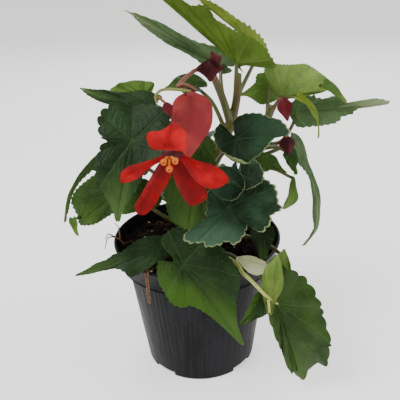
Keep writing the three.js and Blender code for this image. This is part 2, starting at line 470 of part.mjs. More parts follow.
// The room that the stalks of the flower leave for it.
function flowerSleeve() {
  const neck = { radius: receptacle.radius, points: [receptacle.centre, heart.centre] };
  const hood = { ...petals.hood, thickness: petalThickness + 2 * gap, ruffle: 0 };
  return stemSolid([neck], gap).add(bladeSolid(hood));
}

// ---- Buds ----------------------------------------------------------------
// A bud is two petals pressed together: a flat teardrop that hangs from its stalk.
const buds = {
  bud_top: { centre: [12, -24.5, 250], size: [7, 3.5, 7], lean: 0,
    stalk: [[17, -15, 240], [14, -18, 250]] },
  bud_hanging: { centre: [62, -7.5, 215.5], size: [4.5, 3, 8], lean: -13,
    stalk: [[56, 0, 213], [58, -3, 221]] },
  bud_low: { centre: [66, -5, 187], size: [5, 3, 7.5], lean: -8,
    stalk: [[54, -1, 196], [61, -4, 197]] },
  bud_side: { centre: [-13, -58, 240], size: [3, 2.5, 4.5], lean: -24,
    stalk: [[-18.5, -56, 247.5], [-16.5, -57, 246]] },
};

function budSolid({ centre, size, lean, stalk }) {
  const profile = [[0, -1], [0.55, -0.6], [0.95, 0], [0.8, 0.5], [0.35, 0.9], [0, 1]];
  const points = profile.map(([radius, height]) => new THREE.Vector2(radius, height));
  const drop = new THREE.LatheGeometry(points, 8).rotateX(Math.PI / 2).scale(...size);
  drop.rotateY(lean * Math.PI / 180).translate(...centre);
  return solidOf(drop).add(tube([...stalk, centre], budStalkRadius));
}

// ---- Pot and soil ----------------------------------------------------------------
function potSolid() {
  const { height, rimRadius, neckRadius, collarFootRadius, baseRadius, wall } = pot;
  const collarFoot = height - pot.collarHeight;
  const shell = lathe([
    [0, 0], [baseRadius - pot.footChamfer, 0], [baseRadius, pot.footChamfer],
    [neckRadius, collarFoot - pot.ledge], [collarFootRadius, collarFoot], [rimRadius, height],
    [rimRadius - wall, height], [collarFootRadius - wall, collarFoot + pot.ledge],
    [neckRadius - wall, collarFoot], [baseRadius - wall, pot.baseThickness],
    [0, pot.baseThickness],
  ], pot.sides);
  const halfSlot = pot.slotAngle / 2 * Math.PI / 180;
  const slots = Array.from({ length: pot.slots }, (_, i) => {
    const turn = (pot.slotTurn - 90 + 360 * i / pot.slots) * Math.PI / 180;
    const width = 2 * baseRadius * Math.sin(halfSlot);
    const cutter = new THREE.BoxGeometry(2 * pot.slotDepth, width, 2 * pot.slotHeight);
    return solidOf(cutter.translate(baseRadius, 0, 0).rotateZ(turn));
  });
  return wasm.Manifold.difference([shell, ...slots]);
}

function soilSolid() {
  const floor = pot.baseThickness + gap;
  const collarFoot = pot.height - pot.collarHeight;
  const inside = pot.wall + 2 * gap;
  const brim = pot.collarFootRadius - inside;
  const profile = [[0, floor], [pot.baseRadius - inside, floor],
    [pot.neckRadius - inside, collarFoot], [brim, collarFoot + soil.shoulder]];
  for (let ring = 0; ring <= soil.rings; ring += 1) {
    profile.push([brim * (1 - ring / soil.rings), soil.level]);
  }
  const points = profile.map(([radius, height]) => new THREE.Vector2(radius, height));
  const ground = new THREE.LatheGeometry(points, soil.segments).rotateX(Math.PI / 2);
  const place = ground.attributes.position;
  for (let i = 0; i < place.count; i += 1) {
    if (place.getZ(i) < soil.level - weld) continue;
    const lumps = Math.sin(place.getX(i) * 0.31) * Math.cos(place.getY(i) * 0.27);
    place.setZ(i, soil.level + soil.relief * lumps);
  }
  const holes = Object.values(stems).map((branches) => leant(stemSolid(branches, gap)));
  return wasm.Manifold.difference([solidOf(ground), ...holes]);
}

// ---- Dry fibres ----------------------------------------------------------------
// Loose root fibres at the rim. They end in the air beside what they hang over.
const fibres = {
  fibre_front: [
    { radius: 0.9, points: [[-33, -44, 104], [-34.5, -51, 110.5], [-36, -56.5, 109],
      [-36, -57.5, 99], [-36, -56, 88], [-35.5, -54, 82]] },
    { radius: 0.7, points: [[-34.5, -51, 110.5], [-34.5, -57.5, 109.5], [-34.5, -58.5, 98],
      [-34.5, -57, 84]] },
  ],
  fibre_left: [
    { radius: 0.7, points: [[-57, -4, 103], [-63, -6, 110.5], [-69, -8, 111], [-71, -12, 104]] },
    { radius: 0.6, points: [[-63, -6, 110.5], [-69, -3, 112], [-72, -2, 107]] },
    { radius: 0.6, points: [[-60, -5, 107], [-62, 6, 112], [-66, 14, 113]] },
  ],
};

function fibreSolid(strands) {
  return wasm.Manifold.union(strands.map(({ points, radius }) => tube(points, radius)));
}

// ---- Assembly ----------------------------------------------------------------
const begonia = new THREE.Group();

function add(name, solid, material) {
  const mesh = new THREE.Mesh(geometryOf(solid), material);
  mesh.name = name;
  begonia.add(mesh);
}

add('pot', potSolid(), potPlastic);
add('soil', soilSolid(), peat);
const stemSleeves = wasm.Manifold.union(
  Object.values(stems).map((branches) => stemSolid(branches, gap)));
const stalkSleeves = stemSolid(flowerStalks, 2 * gap).add(stemSleeves);
for (const [name, branches] of Object.entries(stems)) {
  add(name, leant(stemSolid(branches)), stemSkin);
}
for (const [name, leaf] of Object.entries(leaves)) {
  add(name, leant(leafSolid(leaf).subtract(stemSleeves)), leaf.colour);
}
add('flower_petals', leant(flowerSolid()), petalRed);
add('flower_stigmas', leant(stigmaSolid()), stigmaOrange);
add('flower_stalk',
  leant(stemSolid(flowerStalks).subtract(stemSleeves).subtract(flowerSleeve())), stemSkin);
for (const [name, bud] of Object.entries(buds)) {
  add(name, leant(budSolid(bud).subtract(stalkSleeves)), budRed);
}
for (const [name, fibre] of Object.entries(fibres)) add(name, fibreSolid(fibre), fibreBrown);

export default begonia;
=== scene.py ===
# %% [markdown]
# # A begonia in its nursery pot
#
# The plant stands in a thin black plastic pot of peat. Two stems carry about thirty leaves,
# one open red flower and a few dark buds. This lesson dresses a finished frame of plain
# solids: each plain solid is hidden, and a finer piece stands in its place.
#
# Everything is in metres, +Z up, with the origin under the middle of the pot. A plant is
# easier to describe in millimetres, so the tables below are in millimetres and `MM` turns
# them into metres at the last step.

import math
import random

import bmesh
import bpy
from mathutils import Matrix, Vector, noise


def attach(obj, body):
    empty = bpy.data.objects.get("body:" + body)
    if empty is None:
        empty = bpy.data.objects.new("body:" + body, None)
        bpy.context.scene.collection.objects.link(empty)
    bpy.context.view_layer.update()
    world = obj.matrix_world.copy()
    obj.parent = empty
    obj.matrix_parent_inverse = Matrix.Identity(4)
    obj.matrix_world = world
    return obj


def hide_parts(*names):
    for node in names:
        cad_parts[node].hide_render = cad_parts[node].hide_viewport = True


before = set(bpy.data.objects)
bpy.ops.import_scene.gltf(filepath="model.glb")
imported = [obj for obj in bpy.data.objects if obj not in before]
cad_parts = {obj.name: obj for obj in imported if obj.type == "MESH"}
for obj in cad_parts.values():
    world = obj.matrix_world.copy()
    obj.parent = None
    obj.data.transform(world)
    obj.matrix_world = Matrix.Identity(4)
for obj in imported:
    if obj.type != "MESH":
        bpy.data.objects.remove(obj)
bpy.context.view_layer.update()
MM = 0.001


def in_scene(name, data):
    thing = bpy.data.objects.new(name, data)
    bpy.context.scene.collection.objects.link(thing)
    return thing


print("nodes to dress:", len(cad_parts))

# %% [markdown]
# ## Camera, floor and light
#
# The camera looks down at the plant at about 25 degrees, from close by, so the top leaves
# look large and the pot narrows quickly towards its foot. A phone held by hand is never
# quite level, hence the small roll.

# %% Camera
CAMERA_PLACE = Vector((3.3, -389.2, 317)) * MM
CAMERA_PITCH = math.radians(90 - 24.8)
CAMERA_ROLL = math.radians(-2.0)
FOCAL_LENGTH, SENSOR_WIDTH = 50.4, 36

lens = bpy.data.cameras.new("camera")
lens.lens = FOCAL_LENGTH
lens.sensor_width = SENSOR_WIDTH
camera = in_scene("camera", lens)
camera.matrix_world = (Matrix.Translation(CAMERA_PLACE) @ Matrix.Rotation(CAMERA_PITCH, 4, "X")
                       @ Matrix.Rotation(CAMERA_ROLL, 4, "Z"))
bpy.context.scene.camera = camera
print("camera height", round(camera.location.z, 3))

# %% [markdown]
# Leaves are judged by their soft shading, so the light is a bright, even room: a pale world,
# a broad panel above on the left, and a weaker one on the right that draws the pot's edge.

# %% Light
def panel(name, place, target, size, power):
    light = bpy.data.lights.new(name, "AREA")
    light.size = size
    light.energy = power
    aim = (Vector(target) - Vector(place)).to_track_quat("-Z", "Y")
    in_scene(name, light).matrix_world = (Matrix.Translation(place)
                                          @ aim.to_matrix().to_4x4())


world = bpy.data.worlds.new("pale_room")
world.use_nodes = True
backdrop = world.node_tree.nodes["Background"].inputs
backdrop["Color"].default_value = (1, 0.99, 0.97, 1)
backdrop["Strength"].default_value = 0.6
bpy.context.scene.world = world
panel("key_panel", (-0.7, -0.6, 1.3), (0, 0, 0.15), 0.7, 20)
panel("side_panel", (1.0, -0.1, 0.7), (0, 0, 0.12), 0.6, 6)
panel("back_panel", (0.1, 1.2, 0.9), (0, 0, 0.2), 0.8, 9)

# %% [markdown]
# ## Paint
#
# Every finish is a small node tree. `Paint` keeps each one to a few readable lines: a method
# adds one node and gives back its output, so finishes read like arithmetic.

# %% Paint
class Paint:
    def __init__(self, name):
        self.material = bpy.data.materials.new(name)
        self.material.use_nodes = True
        self.tree = self.material.node_tree
        self.shader = self.tree.nodes["Principled BSDF"]
        self.coords = self.tree.nodes.new("ShaderNodeTexCoord")

    def plug(self, socket, value):
        if isinstance(value, bpy.types.NodeSocket):
            self.tree.links.new(value, socket)
        else:
            socket.default_value = value

    def node(self, kind, settings=(), inputs=()):
        made = self.tree.nodes.new("ShaderNode" + kind)
        for key, value in dict(settings).items():
            setattr(made, key, value)
        for key, value in dict(inputs).items():
            self.plug(made.inputs[key], value)
        return made

    def set(self, **values):
        for key, value in values.items():
            self.plug(self.shader.inputs[key.replace("_", " ")], value)

    def math(self, operation, a, b=0.0):
        return self.node("Math", {"operation": operation}, {0: a, 1: b}).outputs[0]

    def band(self, value, low, high, start=0.0, end=1.0):
        return self.node("MapRange", {"interpolation_type": "SMOOTHSTEP"},
                         {0: value, 1: low, 2: high, 3: start, 4: end}).outputs[0]

    def mix(self, share, a, b):
        made = self.node("Mix", {"data_type": "RGBA"}, {0: share, 6: a, 7: b})
        return made.outputs[2]

    def noise_at(self, place, scale, detail):
        return self.node("TexNoise", (), {"Vector": place, "Scale": scale, "Detail": detail}
                         ).outputs["Fac"]

    def grain(self, scale, detail, stretch=None):
        place = self.coords.outputs["Object"]
        if stretch:
            place = self.node("Mapping", (), {"Vector": place, "Scale": stretch}).outputs[0]
        return self.noise_at(place, scale, detail)

    def streaks(self, across, along, detail):
        """Noise drawn over two values, so that it makes streaks along the slower one."""
        place = self.node("CombineXYZ", (), {0: across, 1: along}).outputs[0]
        return self.noise_at(place, 1.0, detail)

    def cells(self, scale):
        return self.node("TexVoronoi", {"feature": "DISTANCE_TO_EDGE"},
                         {"Vector": self.coords.outputs["Object"], "Scale": scale}
                         ).outputs["Distance"]

    def split(self, source):
        return self.node("SeparateXYZ", (), {0: self.coords.outputs[source]}).outputs

    def to_line(self, value):
        """How far value is from the nearest whole number, from 0 to 0.5."""
        return self.math("PINGPONG", value, 0.5)

    def bump(self, height, depth):
        made = self.node("Bump", (), {"Height": height, "Distance": depth, "Strength": 1.0})
        self.plug(self.shader.inputs["Normal"], made.outputs[0])

    def glow(self, weight, spread):
        """Light that soaks in and comes out up to 2 mm away; spread is for red, green, blue."""
        self.set(Subsurface_Weight=weight, Subsurface_Scale=0.002, Subsurface_Radius=spread)


def rgb(text):
    """A colour written as six hex digits, turned from screen values into linear light."""
    values = [int(text[i:i + 2], 16) / 255 for i in (0, 2, 4)]
    return tuple(v / 12.92 if v < 0.04045 else ((v + 0.055) / 1.055) ** 2.4
                 for v in values) + (1.0,)


print("a mid green in linear light:", [round(v, 3) for v in rgb("44722f")])

# %% [markdown]
# A begonia leaf has one vein to its tip and others that fan out from the eye, where the
# stalk is joined. Finer veins leave each of them and run towards the margin. The blade
# swells a little between the veins, so light catches it in soft pillows.
#
# The pattern is worked out once, from two numbers that every blade carries in its UV map:
# the turn round the eye and the reach from the eye to the margin. The paint draws the veins
# from them, and the mesh is raised and sunk by the same rule.

# %% Leaf paint
VEINS = 9            # main veins round the eye, one of them to the tip
BRANCHES = 5.5       # side veins along each main vein
BRANCH_SLANT = 2.6


def leaf_paint(name, colours, margin=None, tip=None, lit_patch_and_pale_rim=None, rough=0.42, glow=0.0,
               sunk=True, ribs=0.45):
    """colours: light, deep and vein; sun: middle and spread of a patch, its colour, its reach."""
    paint = Paint(name)
    light, deep, vein = (rgb(colour) for colour in colours.split())
    turn, reach, _ = paint.split("UV")
    spoke = paint.to_line(paint.math("MULTIPLY", turn, VEINS))
    main = paint.band(paint.math("MULTIPLY", spoke, reach), 0.004, 0.03, 1, 0)
    rib = paint.band(paint.math("MULTIPLY", paint.to_line(turn), reach), 0.001, 0.006, 1, 0)
    slanted = paint.math("SUBTRACT", paint.math("MULTIPLY", reach, BRANCHES),
                         paint.math("MULTIPLY", spoke, BRANCH_SLANT))
    branch = paint.math("MULTIPLY", paint.band(paint.to_line(slanted), 0.02, 0.14, 0.25, 0),
                        paint.band(reach, 0.1, 0.35))
    veins = paint.math("MAXIMUM", paint.math("MAXIMUM", main, rib), branch)
    blotch = paint.band(paint.grain(55, 3), 0.35, 0.65)
    fleck = paint.band(paint.grain(900, 2), 0.3, 0.7, 0, 0.25)
    body = paint.mix(blotch, light, deep)
    body = paint.mix(fleck, body, light)
    colour = paint.mix(paint.math("MULTIPLY", veins, ribs), body, vein)
    # Lighter towards the tip: partly the leaf's own colour and partly painted light, where a
    # leaf's tip stands in brighter light than its shaded base.
    if tip:
        near_tip = paint.math("MULTIPLY", paint.band(paint.to_line(turn), 0.02, 0.14, 1, 0),
                              paint.band(reach, 0.25, 0.95))
        colour = paint.mix(near_tip, colour, rgb(tip))
    # A patch of another colour in one sector of the blade, between two reaches. On the front and
    # sheen leaves it is painted light: a brighter lit green on the front leaves and a painted
    # bluish sheen on the sheen leaves. On the edged cup it is the pale colour of the rolled rim.
    if lit_patch_and_pale_rim:
        middle, spread, lit_and_rim_colour, inner, outer = lit_patch_and_pale_rim
        apart = paint.math("PINGPONG", paint.math("SUBTRACT", turn, middle), 0.5)
        lit_and_rim_share = paint.math("MULTIPLY", paint.band(apart, 0.2 * spread, spread, 1, 0),
                               paint.band(reach, inner, outer))
        colour = paint.mix(paint.math("MULTIPLY", lit_and_rim_share, 0.85), colour, rgb(lit_and_rim_colour))
    if margin:
        edge = paint.band(paint.math("ADD", reach, paint.math("MULTIPLY", blotch, 0.015)),
                          0.955, 0.995)
        colour = paint.mix(edge, colour, rgb(margin))
    paint.set(Base_Color=colour, Roughness=rough, Specular_IOR_Level=0.22)
    if glow:
        paint.glow(glow, (0.5, 1.0, 0.15))
    net = paint.band(paint.cells(420), 0.0, 0.25)
    height = paint.math("ADD", paint.math("MULTIPLY", net, 0.4),
                        paint.math("MULTIPLY", veins, -0.9 if sunk else 1.0))
    paint.bump(height, 0.0003)
    return paint.material


# Each look: its slot in the record, its upper face and its underside.
LEAF_LOOKS = {
    "dark": ("leaf_dark", dict(colours="2f4c2a 1b3114 4a663e", tip="547438"),
             dict(colours="5a7040 465c30 859a64")),
    "edged": ("leaf_dark", dict(colours="34543a 192f16 54745a", margin="a9b584",
                                lit_patch_and_pale_rim=(0.66, 0.17, "a4ae70", 0.85, 0.9)),
              dict(colours="4a6840 3c5830 6a8058", margin="a9b584")),
    "mid": ("leaf_mid", dict(colours="3c5c20 284212 5a7c38", tip="4c6e26", ribs=0.4),
            dict(colours="647c44 516934 8a9f62")),
    # The sheen look's greyish, bluish greens are partly the leaf's own colour and partly painted
    # sheen; its patch is a painted bluish sheen.
    "sheen": ("leaf_dark", dict(colours="3a5c42 1b3218 54745a", margin="a9b584",
                                lit_patch_and_pale_rim=(0.62, 0.18, "54785e", 0.15, 0.7)),
              dict(colours="4a6840 3c5830 6a8058", margin="a9b584")),
    # The front look's patch is painted light: the side of the front leaf that the light falls on
    # is painted a brighter green.
    "front": ("leaf_mid", dict(colours="2c4a22 1c3412 48663a", tip="4e7028",
                               lit_patch_and_pale_rim=(0.8, 0.36, "4e7620", 0.15, 0.7)),
              dict(colours="647c44 516934 8a9f62")),
    "bright": ("leaf_bright", dict(colours="5e7c20 466416 7c9844", glow=0.1, rough=0.5),
               dict(colours="5a7c1e 426414 7c9844", glow=0.1)),
    "young": ("leaf_bright", dict(colours="869a2e 688020 a8b454", glow=0.15, rough=0.5),
              dict(colours="8c9c30 6c8422 a8b454", glow=0.15)),
    # The pale look is partly the young fan's own pale green and partly painted light: its
    # underside faces down into shade and is painted lighter, as if lit through.
    "pale": ("leaf_bright", dict(colours="90aa4c 6e9032 b8c884", glow=0.15, rough=0.5),
             dict(colours="a0b850 6e9030 d0dc9c", glow=0.2, ribs=0.8)),
    "soft": ("leaf_bright", dict(colours="68883e 4c6c2a 93aa66", tip="809a48", rough=0.5),
             dict(colours="94b048 6e8e2c b8c880", glow=0.15, ribs=0.6)),
    "grey": ("leaf_mid", dict(colours="5e7c4c 466234 869c6a", tip="98a47a"),
             dict(colours="9aa890 7c8e70 b4c0a4")),
    "cream": ("leaf_cream", dict(colours="f2f4d4 e0e6b8 f8fae4", glow=0.15, rough=0.6),
              dict(colours="e0e4c0 ccd4a4 ecf0d4")),
}
LEAF_PAINTS = {look: [leaf_paint("leaf_%s_face" % look, **face),
                      leaf_paint("leaf_%s_under" % look, rough=0.6, sunk=False, **under)]
               for look, (slot, face, under) in LEAF_LOOKS.items()}
print("leaf paints:", ", ".join(LEAF_PAINTS))

# %% [markdown]
# Stalks and stems are the same fleshy skin: green in the young parts, tan and pink where
# they age, with long fine streaks.

# %% Stem paint
def stem_paint(name, young, old, blush):
    paint = Paint(name)
    patch = paint.band(paint.grain(38, 3), 0.4, 0.62)
    streak = paint.band(paint.grain(300, 4, stretch=(1, 1, 0.08)), 0.35, 0.65)
    colour = paint.mix(patch, young, old)
    colour = paint.mix(paint.math("MULTIPLY", streak, 0.55), colour, blush)
    paint.set(Base_Color=colour, Roughness=0.45)
    paint.glow(0.15, (1.0, 0.6, 0.2))
    paint.bump(streak, 0.0002)
    return paint.material


STEM = stem_paint("stem_skin", rgb("465010"), rgb("4c4812"), rgb("4c3414"))
STALK = stem_paint("stalk_skin", rgb("48541c"), rgb("50521a"), rgb("463a18"))
PALE_STALK = stem_paint("pale_stalk_skin", rgb("aab45c"), rgb("9ca450"), rgb("8c8c40"))
GREEN_STALK = stem_paint("green_stalk_skin", rgb("6e7e30"), rgb("7a7c34"), rgb("74602c"))
FLOWER_STALK = stem_paint("flower_stalk_skin", rgb("6c4c2a"), rgb("7a3c30"), rgb("682a26"))
print("stem paints:", [paint.name for paint in (STEM, STALK, PALE_STALK, GREEN_STALK,
                                                FLOWER_STALK)])

# %% [markdown]
# ## Making a mesh a piece
#
# Every piece is handed over in the same way: it rides on the one body of the plant, and the
# plain solid it stands for is hidden.
#
# The tables below describe the plant as if it grew upright. In fact it leans forwards by a
# few degrees round the foot of its stems, so a piece of the plant is leant when it is handed
# over. The pot and the soil are not.

# %% Handing over a piece
LEAN = Matrix.Rotation(math.radians(7.5), 3, "X")
LEAN_PIVOT = Vector((0, 2.5, 73)) * MM


def object_of(bm, name):
    mesh = bpy.data.meshes.new(name)
    bm.to_mesh(mesh)
    bm.free()
    return in_scene(name, mesh)


def hand_over(bm, name, paints, node, smooth=True, leans=True):
    if leans:
        bmesh.ops.rotate(bm, verts=bm.verts, cent=LEAN_PIVOT, matrix=LEAN)
    piece = object_of(bm, name)
    for paint in paints:
        piece.data.materials.append(paint)
    if smooth:
        piece.data.shade_smooth()
    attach(piece, "root")
    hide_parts(node)
    return piece


def settle(piece):
    """Turns a piece's modifiers into its mesh."""
    graph = bpy.context.evaluated_depsgraph_get()
    done = bpy.data.meshes.new_from_object(piece.evaluated_get(graph))
    piece.modifiers.clear()
    piece.data = done


# %% [markdown]
# ## The shape of a blade
#
# A leaf is flat in the bud and bends as it grows. So each blade starts as a flat outline
# round the eye, drawn in hundredths of the length from the eye to the tip: the first point
# is the tip, and the rest go anticlockwise. One smooth closed curve runs through the points.

# %% Outlines
FORMS = {
    "wrapped": [(100, 0), (78, 8), (64, 15), (43, 24), (20, 36), (-5, 44), (-30, 43), (-44, 26),
        (-46, 5), (-45, -15), (-40, -32), (-22, -45), (-5, -43), (5, -37), (8, -29), (14, -34),
        (30, -37), (47, -34), (63, -23), (80, -11)],
    "eared": [(100, 0), (76, 8), (63, 16), (52, 26), (44, 34), (33, 39), (12, 40), (-8, 38),
        (-24, 28), (-33, 11), (-30, -6), (-8, -6), (-16, -18), (-3, -29), (12, -31), (23, -31),
        (32, -25), (36, -17), (50, -10), (62, -7), (79, -4)],
    "round": [(100, 0), (86, 30), (66, 39), (46, 50), (22, 53), (6, 50), (-6, 38), (-3, 8),
        (-28, 38), (-41, 20), (-42, 0), (-36, -17), (-24, -34), (-4, -47), (17, -50), (36, -42),
        (55, -32), (78, -16)],
    "fan": [(100, 0), (92, 16), (77, 32), (66, 43), (53, 52), (40, 54), (27, 55), (12, 58),
        (1, 61), (-12, 61), (-22, 55), (-23, 43), (-14, 24), (-6, 8), (-8, -3), (5, -6), (30, -6),
        (60, -5), (85, -3)],
    "lance": [(100, 0), (92, 7.5), (74, 14), (50, 22), (30, 30), (12, 33), (-8, 28), (-14, 12),
        (-4, 0), (-12, -10), (-6, -24), (12, -28), (30, -25), (50, -18), (74, -12), (92, -7)],
    "blunt": [(100, 0), (93, 10), (86, 26), (80, 35), (65, 42), (50, 44), (30, 44), (10, 44),
        (-8, 40), (-25, 30), (-36, 15), (-34, 4), (-5, -1), (-18, -10), (-5, -17), (15, -20),
        (37, -18), (55, -16), (72, -14), (88, -8)],
    "half_fan": [(100, 0), (86, 5), (72, 10.5), (62, 12.7), (56, 18), (49, 19.5), (41, 16.5),
        (31, 18.5), (21, 20), (10, 24.5), (0, 27.5), (-14, 26.5), (-27, 23.5), (-29, 20),
        (-18, 11), (-5, 0), (-12, -14), (0, -24), (20, -28), (45, -24), (70, -13)],
    "skirt": [(100, 0), (95, 6), (93, 23), (86, 41), (75, 53), (62, 60), (39, 70), (12, 68),
        (-18, 54), (-36, 29), (-38, 0), (-42, -20), (-60, -35), (-78, -50), (-68, -64), (-46, -64),
        (-38, -71), (-14, -68), (-4, -61), (11, -68), (26, -50), (34, -33.5), (45, -43), (60, -44),
        (74, -27), (78, -14)],
    "rim": [(100, 0), (86, 3), (70, 4.5), (54, 7), (45, 14), (40, 21), (26, 20), (11, 16),
        (-5, 13), (-14, 5), (-16, -6), (-3, -15), (13, -18), (27, -15), (40, -10), (51, -9.5),
        (61, -5.5), (71, -6), (85, -3)],
    "cup": [(100, 0), (86, 30), (66, 39), (46, 50), (22, 53), (6, 50), (-6, 38), (-3, 8),
        (-28, 38), (-41, 20), (-42, 0), (-40, -22), (-28, -44), (-7, -57), (8, -58), (22, -46),
        (43, -33), (58, -19), (72, -7)],
    "bowl": [(100, 0), (90, 45), (50, 85), (0, 95), (-50, 85), (-85, 40), (-90, 0), (-85, -40),
        (-50, -80), (0, -90), (50, -80), (90, -42)],
    "tongue": [(100, 0), (78, 11), (36, 11), (5, 7), (-6, 2), (-10, -8), (-20, -20), (-26, -35),
        (-19, -48), (15, -46), (56, -35), (75, -26), (90, -13)],
    "egg": [(100, 0), (97, 10), (88, 19), (74, 23), (55, 25), (35, 26), (15, 25), (-2, 20),
        (-10, 8), (-4, 0), (-10, -8), (-2, -20), (15, -25), (35, -26), (55, -24), (74, -20),
        (88, -15), (97, -7)],
    "trail": [(100, 0), (93, 4), (82, 6.2), (75.5, 6), (70, 6), (63, 5.6), (55, 5.2), (50, 8.5),
        (43, 13.6), (32, 12.5), (25, 14), (17, 17.5), (5, 17), (-5, 10), (-6, 0), (-4, -7),
        (0, -15), (13, -16.5), (30, -16), (42, -14), (47, -9), (57, -7.5), (63, -3.5), (74, -2),
        (84, -1.2)],
    "ribbon": [(100, 0), (95, 4), (86, 6.5), (70, 8), (50, 8.5), (30, 9), (12, 12), (-2, 14),
        (-8, 5), (-8, -5), (-2, -14), (12, -12), (30, -9), (50, -8.5), (70, -8), (86, -6.5),
        (95, -4)],
    "oval": [(100, 0), (93, 12), (72, 17), (43, 19), (13, 14), (-6, 5), (-5, -6), (7, -12),
        (24, -24), (49, -38), (73, -39), (94, -26), (102, -12)],
    "spindle": [(100, 0), (85, 7), (70, 12), (50, 17), (30, 14), (12, 8), (-2, 3), (-2, -3),
        (12, -7), (30, -13), (50, -15), (70, -13), (85, -8)],
    "shield": [(100, 0), (82, 16), (60, 34), (40, 50), (20, 48), (5, 26), (-3, 10), (-5, 0),
        (-3, -10), (5, -30), (24, -50), (42, -48), (62, -32), (82, -14)],
    "petal": [(100, 0), (97, 10), (86, 19), (66, 22), (42, 18), (20, 11), (0, 6), (-6, 0), (0, -6),
        (20, -11), (42, -18), (66, -22), (86, -19), (97, -10)],
    "hood": [(100, 0), (88, 13), (72, 25), (57, 35), (42, 40), (22, 41), (6, 38), (-5, 28),
        (-9, 12), (-9, -5), (-7, -22), (0, -32), (13, -36), (30, -36), (47, -36), (63, -32),
        (80, -25), (93, -13)],
    "lip": [(100, 0), (94, 8), (74, 26), (56, 53), (50, 85), (26, 100), (-6, 86), (-24, 65),
        (-23, 31), (-17, 0), (-12, -37), (-2, -70), (18, -80), (43, -73), (73, -70), (91, -50),
        (103, -21)],
    "side_left": [(100, 0), (102, 8), (84, 15), (67, 16.5), (47, 12), (29, 8), (0, 6), (-5, 0),
        (0, -5), (28, -6), (48, -10), (74, -15), (90, -12), (97, -6)],
    "low_left": [(100, 0), (97, 8), (90, 12), (74, 17), (51, 17), (29, 19), (10, 17), (-4, 8),
        (-4, -5), (11, -10), (37, -12), (68, -13), (88, -14), (98, -7)],
    "low_right": [(100, 0), (100, 18), (98, 30), (90, 40), (70, 39), (33, 26), (5, 14), (-5, 3),
        (0, -9), (18, -14), (46, -16), (75, -13), (93, -6)],
    "side_right": [(100, 0), (90, 6), (80, 9), (66, 10), (49, 7.5), (31, 5), (14, 4), (0, 5),
        (-5, 0), (0, -6), (18, -16), (37, -28), (56, -34), (73, -34), (89, -25), (98, -13)],
}

# What a blade has when its row in a table doesn't say otherwise. Lengths are in shares of the
# length from the eye to the tip, except thickness and quilt, which are in millimetres.
PLAIN = dict(form="eared", flip=False, widths=(1, 1), back=1, fold=(8, 8), curl=0,
             bow=0.06, hook=0, ruffle=0.015, waves=6, pleat=0, roll=(0, 0.1, 0, 0.8),
             thickness=0.5, teeth=46, tooth=0.03, scallops=False, quilt=0.5, crinkle=0.6,
             around=150, rings=24, paint="mid")


def rim_of(blade):
    """The outline as evenly spaced stations: (turn round the eye, point)."""
    corners = []
    for along, across in FORMS[blade["form"]]:
        along, across = along / 100, (-across if blade["flip"] else across) / 100
        corners.append(Vector((along * blade["back"] if along < 0 else along,
                               across * blade["widths"][0 if across >= 0 else 1])))
    if blade["flip"]:
        corners = [corners[0]] + corners[:0:-1]
    count = len(corners)
    fine = 40 * count
    track = []
    for i in range(fine + 1):
        corner, share = divmod(i * count / fine, 1)
        a, b, c, d = (corners[(int(corner) + k) % count] for k in (-1, 0, 1, 2))
        track.append(b + 0.5 * share * (c - a + share * (2 * a - 5 * b + 4 * c - d
                                                         + share * (3 * (b - c) + d - a))))
    travelled = [0.0]
    for here, ahead in zip(track, track[1:]):
        travelled.append(travelled[-1] + (ahead - here).length)
    stations = []
    i = 0
    for column in range(blade["around"] + 1):
        wanted = travelled[-1] * column / blade["around"]
        while i < fine - 1 and travelled[i + 1] < wanted:
            i += 1
        share = (wanted - travelled[i]) / (travelled[i + 1] - travelled[i])
        stations.append(((i + share) / fine, track[i].lerp(track[i + 1], min(share, 1))))
    return stations


print("outline points:", {name: len(points) for name, points in FORMS.items()})

# %% [markdown]
# The bend is one short rule for every blade: fold it along the midrib, curl and wave the
# margins, arch it from eye to tip and hook the tip. A flat cloth simulation would not know
# how a leaf grows, and a rule gives the same leaf each time.

# %% Bending
SOFT_CREASE = 0.03       # how round the fold along the midrib is


def rolled(blade, flat, reach, turn):
    """A margin that rolls up over the blade: where it goes in the flat, and how high."""
    middle, spread, degrees, start = blade["roll"]
    apart = ((turn - middle + 0.5) % 1 - 0.5) / spread
    angle = math.radians(degrees) * math.exp(-apart * apart)
    if reach <= start or angle < 0.05:
        return flat, 0
    rim = flat.length / reach
    radius = (1 - start) * rim / angle
    swept = angle * (reach - start) / (1 - start)
    along = start * rim + radius * math.sin(swept)
    return flat * (along / flat.length), radius * (1 - math.cos(swept))


def bent(blade, x, y, reach, turn, raised=0):
    side = 0 if y >= 0 else 1
    angle = math.radians(blade["fold"][side] + blade["curl"] * reach * reach)
    wave = blade["ruffle"] * reach * reach * math.sin(math.tau * blade["waves"] * turn)
    wave += raised - blade["pleat"] * reach * math.cos(math.tau * VEINS * turn)
    out = y * math.cos(angle)
    lift = (math.hypot(y, SOFT_CREASE) - SOFT_CREASE) * math.sin(angle) + wave
    ahead = max(x, 0)
    slope = 4 * blade["bow"] * (1 - 2 * ahead)
    arch = 4 * blade["bow"] * (ahead * (1 - ahead) + min(x, 0))
    drop = blade["hook"] * max(0, (x - 0.55) / 0.45) ** 2
    stretch = math.hypot(1, slope)
    return Vector((x - lift * slope / stretch, out, arch - drop + lift / stretch))


def frame_of(blade):
    """X from eye to tip, Z out of the upper face, one unit long from eye to tip."""
    eye = Vector(blade["eye"])
    chord = Vector(blade["tip"]) - eye
    ahead = chord.normalized()
    face = Vector(blade["face"])
    face = (face - ahead * face.dot(ahead)).normalized()
    turned = Matrix((ahead, face.cross(ahead), face)).transposed().to_4x4()
    return Matrix.Translation(eye * MM) @ turned @ Matrix.Scale(chord.length * MM, 4)


print("a leaf's middle, bent:", [round(v, 3) for v in bent(PLAIN, 0.5, 0.2, 0.6, 0.1)])

